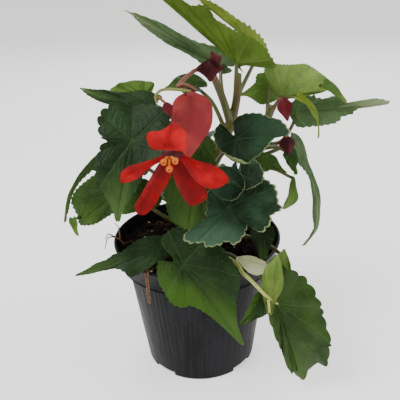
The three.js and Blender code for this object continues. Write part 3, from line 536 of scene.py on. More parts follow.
# %% [markdown]
# The mesh itself starts as a flat grid. Its long way is wrapped round the eye and its short
# way runs from the eye to the margin, so the rows close into rings and the first row
# shrinks to one point. The veins are pressed in along the normals. Extruding the whole sheet
# and keeping the old one gives the blade its thickness, the same everywhere: solidify would
# stretch it into spikes in the tight folds. The underside is the second material of the
# same piece.

# %% Blades
TOOTH_PEAK = 0.72        # how far along a tooth its point is
LARGE_LEAF = 45          # from this length on, a leaf has its full relief


def saw(value):
    """A tooth with a long back and a short front, from 0 to 1."""
    value %= 1
    return value / TOOTH_PEAK if value < TOOTH_PEAK else (1 - value) / (1 - TOOTH_PEAK)


def relief(turn, reach):
    """Pillows between the veins, 1 at the highest, and grooves along the veins."""
    spoke = abs((turn * VEINS + 0.5) % 1 - 0.5)
    slanted = abs((reach * BRANCHES - spoke * BRANCH_SLANT + 0.5) % 1 - 0.5)
    fade = min(1, reach * 3) * min(1, (1.02 - reach) * 5)
    pillow = math.sin(math.pi * spoke) * (0.45 + 0.55 * math.sin(math.pi * slanted))
    groove = math.exp(-(spoke * reach / 0.045) ** 2)
    return fade * (pillow - 0.5 * groove)


def thicken(bm, faces, under, thickness, paint):
    """A sheet becomes a closed shell, its underside in the next paint."""
    for item in faces + under:
        item.normal_update()
    lifted = bmesh.ops.extrude_face_region(bm, geom=faces, use_keep_orig=True)["geom"]
    upper = [item for item in lifted if isinstance(item, bmesh.types.BMVert)]
    for vert in upper:
        vert.co += vert.normal * thickness / 2
    for vert in under:
        vert.co -= vert.normal * thickness / 2
    shell = {face for vert in upper + under for face in vert.link_faces}
    for face in shell:
        face.material_index = paint
    for face in faces:
        face.material_index = paint + 1
    bmesh.ops.recalc_face_normals(bm, faces=list(shell))


def add_blade(bm, given, paint_from=0):
    blade = {**PLAIN, **given}
    seed = Vector(blade["tip"]) * 0.7
    stations = rim_of(blade)
    placed = frame_of(blade)
    length = (Vector(blade["tip"]) - Vector(blade["eye"])).length
    sheet = bmesh.ops.create_grid(bm, x_segments=blade["around"], y_segments=blade["rings"],
                                  size=0.5)["verts"]
    uv = bm.loops.layers.uv.verify()
    mark = {}
    for vert in sheet:
        column = round((vert.co.x + 0.5) * blade["around"])
        reach = vert.co.y + 0.5
        turn, rim = stations[column]
        size = rim.length
        tooth = column / blade["around"] * blade["teeth"] * (1 if turn < 0.5 else -1)
        tooth = abs(math.sin(math.pi * tooth)) ** 0.6 if blade["scallops"] else saw(tooth)
        cut = 1 - blade["tooth"] * (1 - tooth) * min(1, size * 4) / max(size, 0.25)
        flat = rim * reach * (1 + (cut - 1) * reach ** 6)
        stir = noise.noise_vector(Vector((flat.x, flat.y, 0)) * 5 + seed) * blade["crinkle"]
        mark[vert] = (turn + 0.012 * stir.x * reach, reach + 0.02 * stir.y * (1 - reach))
        flat, raised = rolled(blade, flat, reach, turn)
        vert.co = placed @ (bent(blade, flat.x, flat.y, reach, turn, raised)
                            + Vector((0, 0, 0.035 * stir.z * reach)))
    faces = list({face for vert in sheet for face in vert.link_faces})
    for face in faces:
        for loop in face.loops:
            loop[uv].uv = mark[loop.vert]
    bmesh.ops.reverse_faces(bm, faces=faces)
    for vert in sheet:
        vert.normal_update()
    for vert in sheet:
        height = relief(*mark[vert]) * blade["quilt"] * MM
        vert.co += vert.normal * height * min(1, length / LARGE_LEAF)
    bmesh.ops.remove_doubles(bm, verts=sheet, dist=0.00001)
    faces = [face for face in faces if face.is_valid]
    verts = list({vert for face in faces for vert in face.verts})
    thicken(bm, faces, verts, blade["thickness"] * MM, paint_from)


trial = bmesh.new()
add_blade(trial, dict(eye=(0, 0, 0), tip=(60, 0, 0), face=(0, 0, 1)))
print("a trial blade:", len(trial.faces), "faces,",
      sum(not edge.is_manifold for edge in trial.edges), "open edges")
trial.free()

# %% [markdown]
# ## Stalks and stems
#
# A stalk is a ring of corners carried along a smooth path. Each step extrudes the open ring,
# moves it to the next station and turns it with the path, so the tube never pinches.

# %% Sweeping a tube
def smooth_path(points, steps):
    """Stations on one smooth curve through the points, steps to each stretch."""
    ends = [points[0] * 2 - points[1], *points, points[-1] * 2 - points[-2]]
    path = []
    for a, b, c, d in zip(ends, ends[1:], ends[2:], ends[3:]):
        for i in range(steps):
            t = i / steps
            path.append(b + 0.5 * t * (c - a + t * (2 * a - 5 * b + 4 * c - d
                                                    + t * (3 * (b - c) + d - a))))
    return path + [points[-1]]


def add_tube(bm, points, radii, sides=10, steps=8, paint=0):
    """A closed tube through points in millimetres; radii is one radius, or (first, last)."""
    path = smooth_path([Vector(point) * MM for point in points], steps)
    first, last = radii if isinstance(radii, tuple) else (radii, radii)
    widths = [first + (last - first) * i / len(path) for i in range(len(path))]
    ahead = (path[1] - path[0]).normalized()
    start = Matrix.Translation(path[0]) @ ahead.to_track_quat("Z", "Y").to_matrix().to_4x4()
    ring = bmesh.ops.create_circle(bm, cap_ends=True, segments=sides, radius=first * MM,
                                   matrix=start)["verts"]
    cap = next(face for face in ring[0].link_faces)
    cap.normal_flip()
    cap.material_index = paint
    edges = list({edge for vert in ring for edge in vert.link_edges})
    made = []
    for i in range(1, len(path)):
        heading = path[min(i + 1, len(path) - 1)] - path[max(i - 1, 0)]
        turn = ahead.rotation_difference(heading.normalized())
        ahead = heading.normalized()
        grown = bmesh.ops.extrude_edge_only(bm, edges=edges)["geom"]
        ring = [item for item in grown if isinstance(item, bmesh.types.BMVert)]
        edges = [item for item in grown if isinstance(item, bmesh.types.BMEdge)]
        made += [item for item in grown if isinstance(item, bmesh.types.BMFace)]
        for vert in ring:
            vert.co = path[i] + turn @ (vert.co - path[i - 1]) * (widths[i] / widths[i - 1])
    closed = bmesh.ops.contextual_create(bm, geom=edges)["faces"]
    made += closed
    for face in made:
        face.material_index = paint
    bmesh.ops.recalc_face_normals(bm, faces=made + [cap])


trial = bmesh.new()
add_tube(trial, [(0, 0, 0), (0, 0, 20), (10, 0, 40)], 2)
print("a trial tube:", len(trial.faces), "faces, volume in mm3",
      round(trial.calc_volume(signed=True) / MM ** 3))
trial.free()

# %% [markdown]
# The main stem leans to the right and forks under the top leaves; the second stem stands
# behind it. Both thicken a little at the joints, where leaves have grown. Voxel remesh
# melts the branches of a stem into one skin, and smoothing softens the fork.

# %% Stems
STEM_FOOT = 72
FORK = (27, -6, 209)
STEMS = {
    "stem_main": [
        ((4.6, 4.0), [(-5, -6, STEM_FOOT), (-4, -7, 105), (4, -8, 150), (18, -7, 188), FORK]),
        ((2.9, 2.4), [(26, -6, 205), (21, -9, 224), (15, -11, 241)]),
        ((3.1, 2.6), [(26, -6, 203), (30, -4, 224), (31, -1, 240)]),
    ],
    "stem_second": [
        ((3.6, 3.0), [(14, 8, STEM_FOOT), (16, 9, 105), (30, 7, 146), (46, 6, 184),
                      (55, 4, 214)]),
    ],
}
STEM_VOXEL = 0.0006
SOFTENING = 6


def melt(piece, paint):
    """One soft skin round all the shells of a piece."""
    remesh = piece.modifiers.new("one_skin", "REMESH")
    remesh.mode = "VOXEL"
    remesh.voxel_size = STEM_VOXEL
    remesh.use_smooth_shade = True
    smooth = piece.modifiers.new("soft", "SMOOTH")
    smooth.iterations = SOFTENING
    settle(piece)
    piece.data.materials.clear()
    piece.data.materials.append(paint)


for node, branches in STEMS.items():
    bm = bmesh.new()
    for radii, points in branches:
        add_tube(bm, points, radii, sides=14, steps=10)
    stem = hand_over(bm, node + "_skin", [STEM], node)
    melt(stem, STEM)
    print(stem.name, len(stem.data.polygons), "faces")

# %% [markdown]
# ## The leaves
#
# No two leaves are alike, so each has a row of its own: where its eye and its tip are,
# which way its upper face looks, and how it is folded, curled and toothed. `stalk` is the
# way from the stem to the eye.

# %% Leaf table
YOUNG = dict(teeth=58, tooth=0.035, quilt=0.25)
LARGE = dict(around=210, rings=34)
LEAVES = {
    "leaf_top": dict(LARGE, form="half_fan", paint="bright", eye=(30, 0, 246), tip=(-25, 14, 292),
        face=(0.3, 0.9, -0.2), widths=(1, 0.5), back=0.95, bow=0.05, fold=(4, 70), teeth=60,
        tooth=0.015, quilt=0.5, pleat=0.008, stalk=[(30, -2, 234)]),
    "leaf_top_back": dict(LARGE, form="lance", paint="young", eye=(47, 26, 243), tip=(2, 30, 283),
        face=(0.3, -0.5, 0.8), widths=(0.15, 0.68), fold=(20, 20), teeth=34, tooth=0.05,
        stalk=[(30, -4, 224), (38, 12, 232)]),
    "leaf_top_left": dict(LARGE, form="lance", paint="grey", eye=(20, 12, 242), tip=(-41, 2, 283),
        face=(-0.4, 0.7, -0.5), widths=(0.42, 0.3), bow=0.04, fold=(10, 30), teeth=30, tooth=0.02,
        ruffle=0.03, waves=5, stalk=[(21, -9, 224), (20, 2, 232)]),
    "leaf_left_slim": dict(form="lance", paint="dark", eye=(-26, -4, 222), tip=(-75, 0, 233),
        face=(0, -0.3, 1), widths=(0.8, 0.8), bow=-0.06, fold=(10, 10), stalk=[(18, -7, 188),
        (-6, 0, 208)]),
    "leaf_left_bright": dict(YOUNG, form="tongue", paint="soft", eye=(-33, 8, 222),
        tip=(-57, 10, 226), face=(0, -0.8, 0.6), fold=(5, 5), pleat=0.03, stalk=[(12, -8, 172),
        (-8, 6, 200)]),
    "leaf_behind_flower": dict(form="eared", paint="mid", eye=(3, 10, 228), tip=(-23, 6, 226.6),
        face=(0, -0.3, 0.9), widths=(1.2, 1.1), flip=True, stalk=[(23, -7, 200), (14, 4, 218)]),
    "leaf_left_big": dict(LARGE, form="wrapped", paint="dark", eye=(-38, -38, 212),
        tip=(-49, -64, 167), face=(-0.1, -0.75, 0.65), bow=0.08, fold=(6, 12), teeth=30,
        tooth=0.035, scallops=True, quilt=0.55, crinkle=1, stalk=[(4, -8, 150), (-14, -18, 176),
        (-30, -30, 202)]),
    "leaf_left_outer": dict(LARGE, form="lance", paint="mid", eye=(-64, 6, 184),
        tip=(-100, 0, 124), face=(-0.8, -0.2, 0.55), widths=(0.4, 0.55), bow=0.12, fold=(-20, -35),
        teeth=40, stalk=[(0, -8, 132), (-22, 6, 156), (-48, 8, 176)]),
    "leaf_left_low": dict(LARGE, form="blunt", flip=True, paint="mid", eye=(-50, -20, 166),
        tip=(-84, -30, 144), face=(-0.1, -0.85, 0.5), widths=(1.4, 1.1), back=0.6, hook=0.15,
        teeth=40, stalk=[(-3, -7, 120), (-20, -12, 134), (-38, -18, 154)],
        flaps=[dict(form="lance", eye=(-85, -31, 150), tip=(-83, -33, 136), face=(-0.3, -0.8, 0.5),
        widths=(0.7, 0.9), paint="soft", around=80, rings=14, joint=(-81.5, -25.5, 147))]),
    "leaf_left_inner": dict(form="lance", paint="mid", eye=(-29, -38, 175), tip=(-50, -46, 163),
        face=(0, -0.7, 0.7), widths=(1.5, 1.5), stalk=[(-2, -7, 126), (-14, -20, 150)]),
    # The rim leaf takes the dark look: its dark base and lighter tip are partly painted shade and
    # painted light, for the base lying in shadow inside the rim and the tip out in the light.
    "leaf_rim_left": dict(LARGE, form="rim", paint="dark", eye=(-26, -42, 130),
        tip=(-86, -53, 117), face=(0, -0.75, 0.65), fold=(4, 10), teeth=40, tooth=0.02, quilt=0.5,
        crinkle=1.2, stalk=[(-4, -7, 112), (-12, -24, 118), (-22, -38, 126)]),
    "leaf_rim_front": dict(LARGE, form="eared", paint="front", eye=(-9, -60, 130),
        tip=(30, -84, 76), face=(-0.05, -0.8, 0.6), bow=0.08, teeth=60, tooth=0.015, quilt=0.65,
        stalk=[(-4, -7, 108), (-8, -30, 116), (-9, -52, 124)]),
    "leaf_centre_cup": dict(LARGE, form="cup", paint="edged", eye=(27, -36, 209),
        tip=(62, -34, 211), face=(0.1, -0.9, 0.45), widths=(1, 1.1), bow=-0.04, fold=(10, 14),
        curl=22, roll=(0.66, 0.11, 170, 0.66), teeth=32, scallops=True, quilt=0.5,
        stalk=[(12, -8, 172), (16, -20, 186), (24, -32, 204)]),
    "leaf_centre_curl": dict(form="bowl", paint="sheen", eye=(20, -52.5, 187),
        tip=(31, -54.5, 178), face=(-0.25, -0.7, 0.65), bow=0, fold=(5, 5), curl=30, crinkle=1.2,
        teeth=20, scallops=True, roll=(0, 0.3, 150, 0.68), stalk=[(4, -8, 150), (13, -26, 178),
        (19, -42, 194)], flaps=[dict(form="round", eye=(29, -48, 190), tip=(44, -43, 182),
        face=(0.2, -0.75, 0.65), widths=(1.3, 1.2), curl=15, crinkle=2.6, quilt=0.6, paint="sheen",
        teeth=24)]),
    "leaf_centre_big": dict(LARGE, form="skirt", paint="sheen", eye=(21, -56, 171),
        tip=(57, -52, 166), face=(0, -0.7, 0.7), fold=(-4, 8), bow=0.05, ruffle=0.035, waves=11,
        teeth=40, tooth=0.05, scallops=True, quilt=0.6, crinkle=1.2, stalk=[(0, -8, 130),
        (10, -30, 140), (18, -48, 162)]),
    "leaf_under_flower": dict(LARGE, form="egg", paint="mid", eye=(5, -28, 203),
        tip=(-6, -49.5, 149), face=(0, -0.85, 0.5), widths=(0.8, 1.4), stalk=[(0, -8, 136),
        (-2, -18, 170), (2, -24, 194)]),
    "leaf_hanging_right": dict(LARGE, form="blunt", paint="mid", pale_stalk=True,
        eye=(54, -68, 99), tip=(74, -69, 23), face=(-0.1, -0.8, 0.6), widths=(0.84, 0.6), bow=0.05,
        fold=(5, 20), teeth=26, tooth=0.035, scallops=True, ruffle=0.035, waves=9, quilt=0.6,
        stalk=[(-2, -7, 114), (10, -34, 122), (26, -53, 124), (30, -61, 122), (36, -67, 119),
        (46, -70, 108)], flaps=[dict(form="spindle", eye=(48, -73, 96), tip=(52, -70, 143),
        face=(0, 1, 0), widths=(1, 1.1), fold=(12, 12), paint="pale", joint=(47, -71, 106))]),
    "leaf_hanging_back": dict(form="blunt", paint="soft", eye=(64, -54, 106), tip=(60, -46, 130),
        face=(0.2, -0.8, 0.5), widths=(1.4, 0.5), crinkle=1.2, stalk=[(14, 8, 100), (30, -10, 117),
        (54, -32, 120), (64, -48, 114)]),
    "leaf_fold_small": dict(form="lance", paint="front", eye=(45, -63, 100), tip=(28, -70, 82),
        face=(0.4, -0.7, 0.6), widths=(1.1, 1.3), back=0.8, fold=(25, 25), crinkle=1.5,
        stalk=[(0, -9, 108), (14, -38, 114), (35, -50, 118.5), (44, -58, 113)]),
    "leaf_cream": dict(form="oval", paint="cream", eye=(28, -52, 126), tip=(47, -56, 122),
        face=(0, -0.6, 0.8), widths=(1.1, 1.1), fold=(12, 12), teeth=0, tooth=0,
        stalk=[(2, -8, 106), (16, -26, 113.5), (25, -42, 121.5)]),
    "leaf_right_fan": dict(LARGE, form="fan", paint="pale", eye=(60, 2, 221), tip=(97, 2, 226),
        face=(0, 0.9, -0.3), bow=0.03, fold=(5, 5), flip=True, teeth=54, tooth=0.025, pleat=0.035,
        quilt=0.5, stalk=[(54, 5, 208)], flaps=[dict(form="lance", eye=(70, -7, 224),
        tip=(84, -14, 196), face=(0.7, -0.2, 0.7), widths=(0.8, 0.8), back=0.4, bow=0.16,
        fold=(10, 10), paint="young"), dict(form="lance", eye=(89, -1, 230), tip=(104, -4, 217),
        face=(0.2, -0.7, 0.7), widths=(0.7, 0.7), paint="soft", joint=(87, 5, 227))]),
    "leaf_right_long": dict(LARGE, form="trail", paint="grey", eye=(73, 10, 205),
        tip=(142, 18, 207), face=(0, -0.85, 0.5), bow=0.03, teeth=36, quilt=0.5, crinkle=1,
        ruffle=0.03, waves=5, stalk=[(46, 6, 184), (62, 8, 184), (70, 9, 195)]),
    "leaf_right_hanging": dict(LARGE, form="ribbon", paint="grey", eye=(75, 8, 183),
        tip=(96, 2, 91), face=(0.8, -0.5, 0.3), widths=(0.75, 0.75), bow=0.08, hook=0.14,
        fold=(-20, -20), teeth=56, tooth=0.02, stalk=[(42, 6, 172), (60, 8, 178), (68, 8, 183)]),
    "leaf_right_small": dict(YOUNG, form="petal", paint="soft", eye=(72, 3, 157),
        tip=(69, -3, 131), face=(0.6, -0.7, 0.3), widths=(1.2, 1.2), hook=0.2, stalk=[(36, 7, 162),
        (56, 6, 164)]),
    "leaf_crown_low": dict(form="eared", paint="soft", eye=(55, 26, 220), tip=(33, 28, 212),
        face=(0, -0.7, 0.7), widths=(1.5, 1.5), teeth=36, tooth=0.04, stalk=[(52, 5, 206)]),
    "leaf_right_under": dict(form="lance", paint="dark", eye=(46, -30, 134), tip=(46, -46, 119),
        face=(0, -0.8, 0.6), widths=(1.4, 1.4), stalk=[(16, 9, 104), (34, -8, 128)]),
    "leaf_bud_inner": dict(form="eared", paint="mid", eye=(48, -8, 177), tip=(66, -12, 170),
        face=(0, -0.9, 0.4), widths=(1, 1), crinkle=2.2, ruffle=0.06, stalk=[(36, 7, 162),
        (42, 0, 172)]),
    "leaf_bud_outer": dict(form="lance", paint="mid", eye=(67, -1.5, 180), tip=(73, -3.5, 163),
        face=(0.2, -0.9, 0.4), widths=(1, 1), crinkle=2.2, ruffle=0.06, stalk=[(44, 6, 179),
        (58, 1, 184)]),
    "leaf_back_left": dict(LARGE, form="eared", paint="dark", eye=(-22, 26, 168),
        tip=(-60, 46, 140), face=(-0.4, 0.4, 0.8), widths=(1.1, 1.1), bow=0.1, quilt=0.5,
        stalk=[(-3, -7, 122), (-12, 12, 150)]),
    "leaf_back_low_left": dict(LARGE, form="eared", paint="mid", eye=(-30, 38, 130),
        tip=(-62, 66, 112), face=(-0.3, 0.5, 0.8), widths=(1.1, 1.1), bow=0.1, quilt=0.5,
        stalk=[(-4, -7, 106), (-16, 20, 118)]),
    "leaf_back_middle": dict(LARGE, form="wrapped", paint="dark", eye=(4, 38, 178),
        tip=(-6, 76, 138), face=(0, 0.6, 0.8), bow=0.1, quilt=0.6, stalk=[(8, -8, 160),
        (6, 18, 168)]),
    "leaf_back_low": dict(LARGE, form="eared", paint="mid", eye=(12, 50, 128), tip=(14, 88, 112),
        face=(0, 0.4, 0.9), widths=(1.2, 1.2), bow=0.1, quilt=0.5, stalk=[(16, 9, 106),
        (14, 34, 118)]),
    "leaf_back_right": dict(LARGE, form="eared", paint="dark", eye=(40, 34, 172),
        tip=(56, 66, 140), face=(0.3, 0.5, 0.8), widths=(1.1, 1.1), bow=0.1, quilt=0.5,
        stalk=[(30, 7, 146), (36, 22, 160)]),
}
print("leaves:", len(LEAVES))

# %% [markdown]
# The blade and its stalk are one piece, as they are on the plant. The stalk thins towards
# the eye and ends just under the blade.

# %% Leaves
STALK_RADII = (1.7, 1.1)
FLAP_STALK_RADII = (1.1, 0.8)
UNDER_BLADE = 0.6        # how far below the eye a stalk ends

for node, leaf in LEAVES.items():
    bm = bmesh.new()
    add_blade(bm, leaf)
    face = Vector(leaf["face"]).normalized()
    under = Vector(leaf["eye"]) - face * UNDER_BLADE
    add_tube(bm, [*leaf["stalk"], under], STALK_RADII, paint=2)
    paints = [*LEAF_PAINTS[leaf["paint"]], PALE_STALK if leaf.get("pale_stalk") else STALK]
    for flap in leaf.get("flaps", []):
        joint = flap.get("joint", leaf["eye"])
        add_tube(bm, [joint, flap["eye"]], FLAP_STALK_RADII, steps=2, paint=2)
        add_blade(bm, flap, paint_from=len(paints))
        paints += LEAF_PAINTS[flap["paint"]]
    hand_over(bm, node + "_blade", paints, node)

# %% [markdown]
# ## The flower
#
# The open flower hangs sideways. Its largest petal is a hood that we see from outside, so
# it looks pink and finely streaked. One petal bends forward as a lip, and four more spread
# below it like fingers. Petals are thinner than leaves and have no teeth; their veins are a
# close fan of streaks.

# %% Petal paint
def petal_paint(name, bright, deep, streaked, rough=0.5):
    paint = Paint(name)
    turn, reach, _ = paint.split("UV")
    streak = paint.streaks(paint.math("MULTIPLY", turn, 110),
                           paint.math("MULTIPLY", reach, 1.6), 3.0)
    streak = paint.band(streak, 0.35, 0.65)
    mottled = paint.mix(paint.band(paint.grain(70, 3), 0.35, 0.65), bright, deep)
    colour = paint.mix(paint.math("MULTIPLY", streak, streaked), mottled, deep)
    # Darker towards the base of each petal: painted shade where the petals crowd together at the
    # heart of the flower.
    colour = paint.mix(paint.band(reach, 0.0, 0.5, 0.6, 0), colour, deep)
    paint.set(Base_Color=colour, Roughness=rough, Specular_IOR_Level=0.25)
    paint.glow(0.2, (1.0, 0.25, 0.2))
    paint.bump(streak, 0.00015)
    return paint.material


PETAL_FACE = petal_paint("petal_face", rgb("ee0816"), rgb("b4040e"), 0.3)
# A darker copy of the petal paint for the two lowest petals: painted shade, as they lie in the
# shadow below the flower.
PETAL_SHADED = petal_paint("petal_shaded", rgb("b8040e"), rgb("860208"), 0.3)
PETAL_BACK = petal_paint("petal_back", rgb("c44e4a"), rgb("9c3236"), 0.6, rough=0.6)
print("petal paints:", PETAL_FACE.name, PETAL_BACK.name)

# %% Petals
PETAL = dict(form="petal", thickness=0.45, ruffle=0, teeth=0, tooth=0, quilt=0,
             crinkle=0.35, around=120, rings=26)
PETALS = {
    "hood": dict(form="hood", eye=(0, -50, 244), tip=(-2, -65, 213), face=(-0.1, -0.9, 0.4),
        bow=0.12, fold=(-25, -25), around=160, rings=34),
    "lip": dict(form="lip", eye=(-13.5, -72, 224.5), tip=(-10.5, -74, 239), face=(0, -0.85, 0.5),
        widths=(0.86, 0.86), bow=-0.04),
    "left": dict(form="side_left", eye=(-17.5, -64, 213), tip=(-42.5, -72, 204),
        face=(0, -0.8, 0.6), fold=(-12, 14)),
    "low_left": dict(form="low_left", eye=(-16, -64, 210), tip=(-33, -78, 183),
        face=(0.2, -0.8, 0.6), fold=(10, 10)),
    "low_right": dict(form="low_right", eye=(-10.5, -64, 209.5), tip=(-1.5, -79, 188),
        face=(0.1, -0.8, 0.6), fold=(-6, 12)),
    "right": dict(form="side_right", eye=(-7, -63, 213), tip=(20.5, -72, 201.5),
        face=(0.2, -0.8, 0.6), fold=(20, -10)),
}
for name, petal in PETALS.items():
    bm = bmesh.new()
    add_blade(bm, {**PETAL, **petal})
    # The two lowest petals take the darker copy of the petal paint, painted shade.
    paints = {"hood": [PETAL_BACK, PETAL_FACE], "low_left": [PETAL_SHADED, PETAL_BACK],
              "low_right": [PETAL_SHADED, PETAL_BACK]}.get(name, [PETAL_FACE, PETAL_BACK])
    hand_over(bm, "petal_" + name, paints, "flower_petals")
print("petals:", len(PETALS))

# %% [markdown]
# Behind the petals is the fleshy base where they meet, painted a very dark red that is
# painted shade for the shadow in the flower's heart. In front of it stand three stigmas,
# each forked into two twisted, grainy lobes.

# %% Flower base and stigmas
def plain_paint(name, light, deep, scale, rough, relief_depth, glow=0.0, detail=4, gloss=0.3):
    paint = Paint(name)
    grain = paint.grain(scale, detail)
    colour = paint.mix(paint.band(grain, 0.35, 0.65), light, deep)
    paint.set(Base_Color=colour, Roughness=rough, Specular_IOR_Level=gloss)
    if glow:
        paint.glow(glow, (1.0, 0.5, 0.2))
    paint.bump(grain, relief_depth)
    return paint.material


# The flower base is a very dark red: painted shade for the shadow in the heart of the flower.
SHADED_FLOWER_BASE = plain_paint("shaded_flower_base", rgb("50080c"), rgb("340406"), 300, 0.5, 0.0002)
STIGMA = plain_paint("stigma_grain", rgb("dc7a20"), rgb("b05010"), 1400, 0.75, 0.0004)
RECEPTACLE = (-2, -45, 241)
HEART = (-12, -62, 213)
HEART_SIZE = (6.5, 3.5, 5.5)
bm = bmesh.new()
add_tube(bm, [(0, -47, 245), RECEPTACLE, HEART], (3.5, 3.0), sides=20)
heart = bmesh.ops.create_uvsphere(bm, u_segments=24, v_segments=16, radius=1)["verts"]
bmesh.ops.scale(bm, verts=heart, vec=Vector(HEART_SIZE) * MM)
bmesh.ops.translate(bm, verts=heart, vec=Vector(HEART) * MM)
base = hand_over(bm, "shaded_flower_base", [SHADED_FLOWER_BASE], "flower_petals")
melt(base, SHADED_FLOWER_BASE)

STIGMA_FOOT = Vector((-13.5, -67, 214))
STIGMA_TIPS = [(-16.5, -73, 215), (-10, -73, 215.5), (-13.5, -75, 211.5)]
LOBE_RADIUS, LOBE_TURN, LOBE_PITCH = 1.1, 0.8, 0.2
bm = bmesh.new()
for tip in STIGMA_TIPS:
    tip = Vector(tip)
    middle = STIGMA_FOOT.lerp(tip, 0.5) + Vector((0, -0.5, 1.5))
    add_tube(bm, [STIGMA_FOOT, middle, tip], (0.9, 0.7), sides=8)
    for turn in (0, math.pi):
        lobe = []
        for i in range(9):
            angle = turn + i * LOBE_TURN
            lobe.append(tip + Vector((LOBE_RADIUS * math.cos(angle), -LOBE_PITCH * i,
                                      LOBE_RADIUS * math.sin(angle))))
        add_tube(bm, lobe, (1.0, 0.7), sides=8, steps=4)
hand_over(bm, "stigma_tuft", [STIGMA], "flower_stigmas")
print("stigmas:", len(STIGMA_TIPS))

# %% Flower stalk
FLOWER_STALKS = [
    ((1.4, 1.2), [(14, -12, 240), (9, -14, 245), (4.5, -18, 249), (0, -25, 249),
                  (-4.5, -33, 248), (-7, -39, 247), (-4, -45, 246), (0, -48, 244)]),
    ((1.1, 1.2), [(3, -44, 246), (-3, -43, 249), (-8, -42, 248)]),
    ((0.9, 0.8), [(0, -46, 246), (-9, -50, 249), (-16, -54, 250.5), (-19.5, -56, 248),
                  (-19, -57, 244)]),
]
bm = bmesh.new()
for index, (radii, points) in enumerate(FLOWER_STALKS):
    add_tube(bm, points, radii, sides=12, paint=index // 2)
hand_over(bm, "flower_stalk_skin", [FLOWER_STALK, GREEN_STALK], "flower_stalk")
print("flower stalks:", len(FLOWER_STALKS))

# %% [markdown]
# A bud is two dark red petals pressed together, face to face, so it looks like a flat shield
# with a sharp rim. Each half is a small blade that arches outwards.

# %% Buds
BUD = plain_paint("bud_red", rgb("5a0c14"), rgb("36060c"), 160, 0.45, 0.0002, glow=0.1)
BUD_PALE = plain_paint("bud_pale", rgb("8c2430"), rgb("6a1822"), 160, 0.5, 0.0002, glow=0.1)
BRACT = petal_paint("bract", rgb("7a3030"), rgb("5c2022"), 0.6, rough=0.55)
BUD_HALF = dict(form="shield", bow=0.16, fold=(-24, -24), thickness=0.45, ruffle=0, teeth=0,
                tooth=0, quilt=0, crinkle=0.3, around=80, rings=18)
BUDS = {
    "bud_top": dict(eye=(12, -24, 256.5), tip=(12, -25, 243.5), face=(0, -0.9, 0.45),
        widths=(1.25, 1.3), paint=BUD, stalk=[(17, -15, 240), (14, -18, 250)],
        bracts=[dict(eye=(17, -20, 252), tip=(13, -19, 261), widths=(0.9, 0.9))]),
    "bud_hanging": dict(eye=(60.5, -6, 223), tip=(64, -9, 208), face=(0.1, -0.9, 0.4),
        widths=(0.7, 0.7), paint=BUD_PALE, stalk=[(56, 0, 213), (58, -3, 221)], bracts=[]),
    "bud_low": dict(eye=(65, -5, 194.5), tip=(67, -5, 180), face=(0, -0.9, 0.4), widths=(0.7, 0.9),
        paint=BUD, stalk=[(54, -1, 196), (61, -4, 197)], bracts=[]),
    "bud_side": dict(eye=(-14.5, -57, 244), tip=(-11, -59, 236), face=(0, -0.9, 0.4),
        widths=(0.7, 0.7), paint=BUD_PALE, stalk=[(-18.5, -56, 247.5), (-16.5, -57, 246)],
        bracts=[]),
}

for node, bud in BUDS.items():
    bm = bmesh.new()
    away = -Vector(bud["face"])
    halves = dict(eye=bud["eye"], tip=bud["tip"], widths=bud["widths"])
    add_blade(bm, {**BUD_HALF, **halves, "face": bud["face"]})
    add_blade(bm, {**BUD_HALF, **halves, "face": away, "widths": bud["widths"][::-1]})
    for bract in bud["bracts"]:
        add_blade(bm, {**BUD_HALF, **bract, "face": bud["face"]}, paint_from=2)
    add_tube(bm, [*bud["stalk"], bud["eye"]], (0.9, 0.8), paint=4)
    hand_over(bm, node + "_petals", [bud["paint"], bud["paint"], BRACT, BRACT, FLOWER_STALK],
              node)
print("buds:", len(BUDS))

# %% [markdown]
# ## The pot
#
# A thermoformed pot is one thin wall: a flat base with a few slots, a tapered body and a
# collar that steps outwards and ends in a rolled rim. Its section is spun round the axis.
# Four boxes cut the slots.

# %% Pot paint
def pot_paint():
    paint = Paint("pot_plastic")
    x, y, z = paint.split("Object")
    angle = paint.math("ARCTAN2", y, x)
    streak = paint.streaks(paint.math("MULTIPLY", angle, 26),
                           paint.math("MULTIPLY", z, 18), 5.0)
    below = paint.band(z, 0.089, 0.093, 1, 0)
    streak = paint.math("MULTIPLY", paint.band(streak, 0.4, 0.7), below)
    dust = paint.band(paint.grain(520, 5), 0.66, 0.74)
    cloud = paint.band(paint.grain(28, 3), 0.45, 0.7)
    body = paint.mix(streak, rgb("131415"), rgb("222325"))
    body = paint.mix(paint.math("MULTIPLY", cloud, 0.4), body, rgb("2c2b30"))
    body = paint.mix(paint.math("MULTIPLY", dust, 0.3), body, rgb("6c6862"))
    rough = paint.band(paint.math("ADD", cloud, streak), 0, 2, 0.38, 0.6)
    paint.set(Base_Color=body, Roughness=rough, Specular_IOR_Level=0.06)
    paint.bump(streak, 0.0002)
    return paint.material


POT = pot_paint()
print("pot paint:", POT.name)

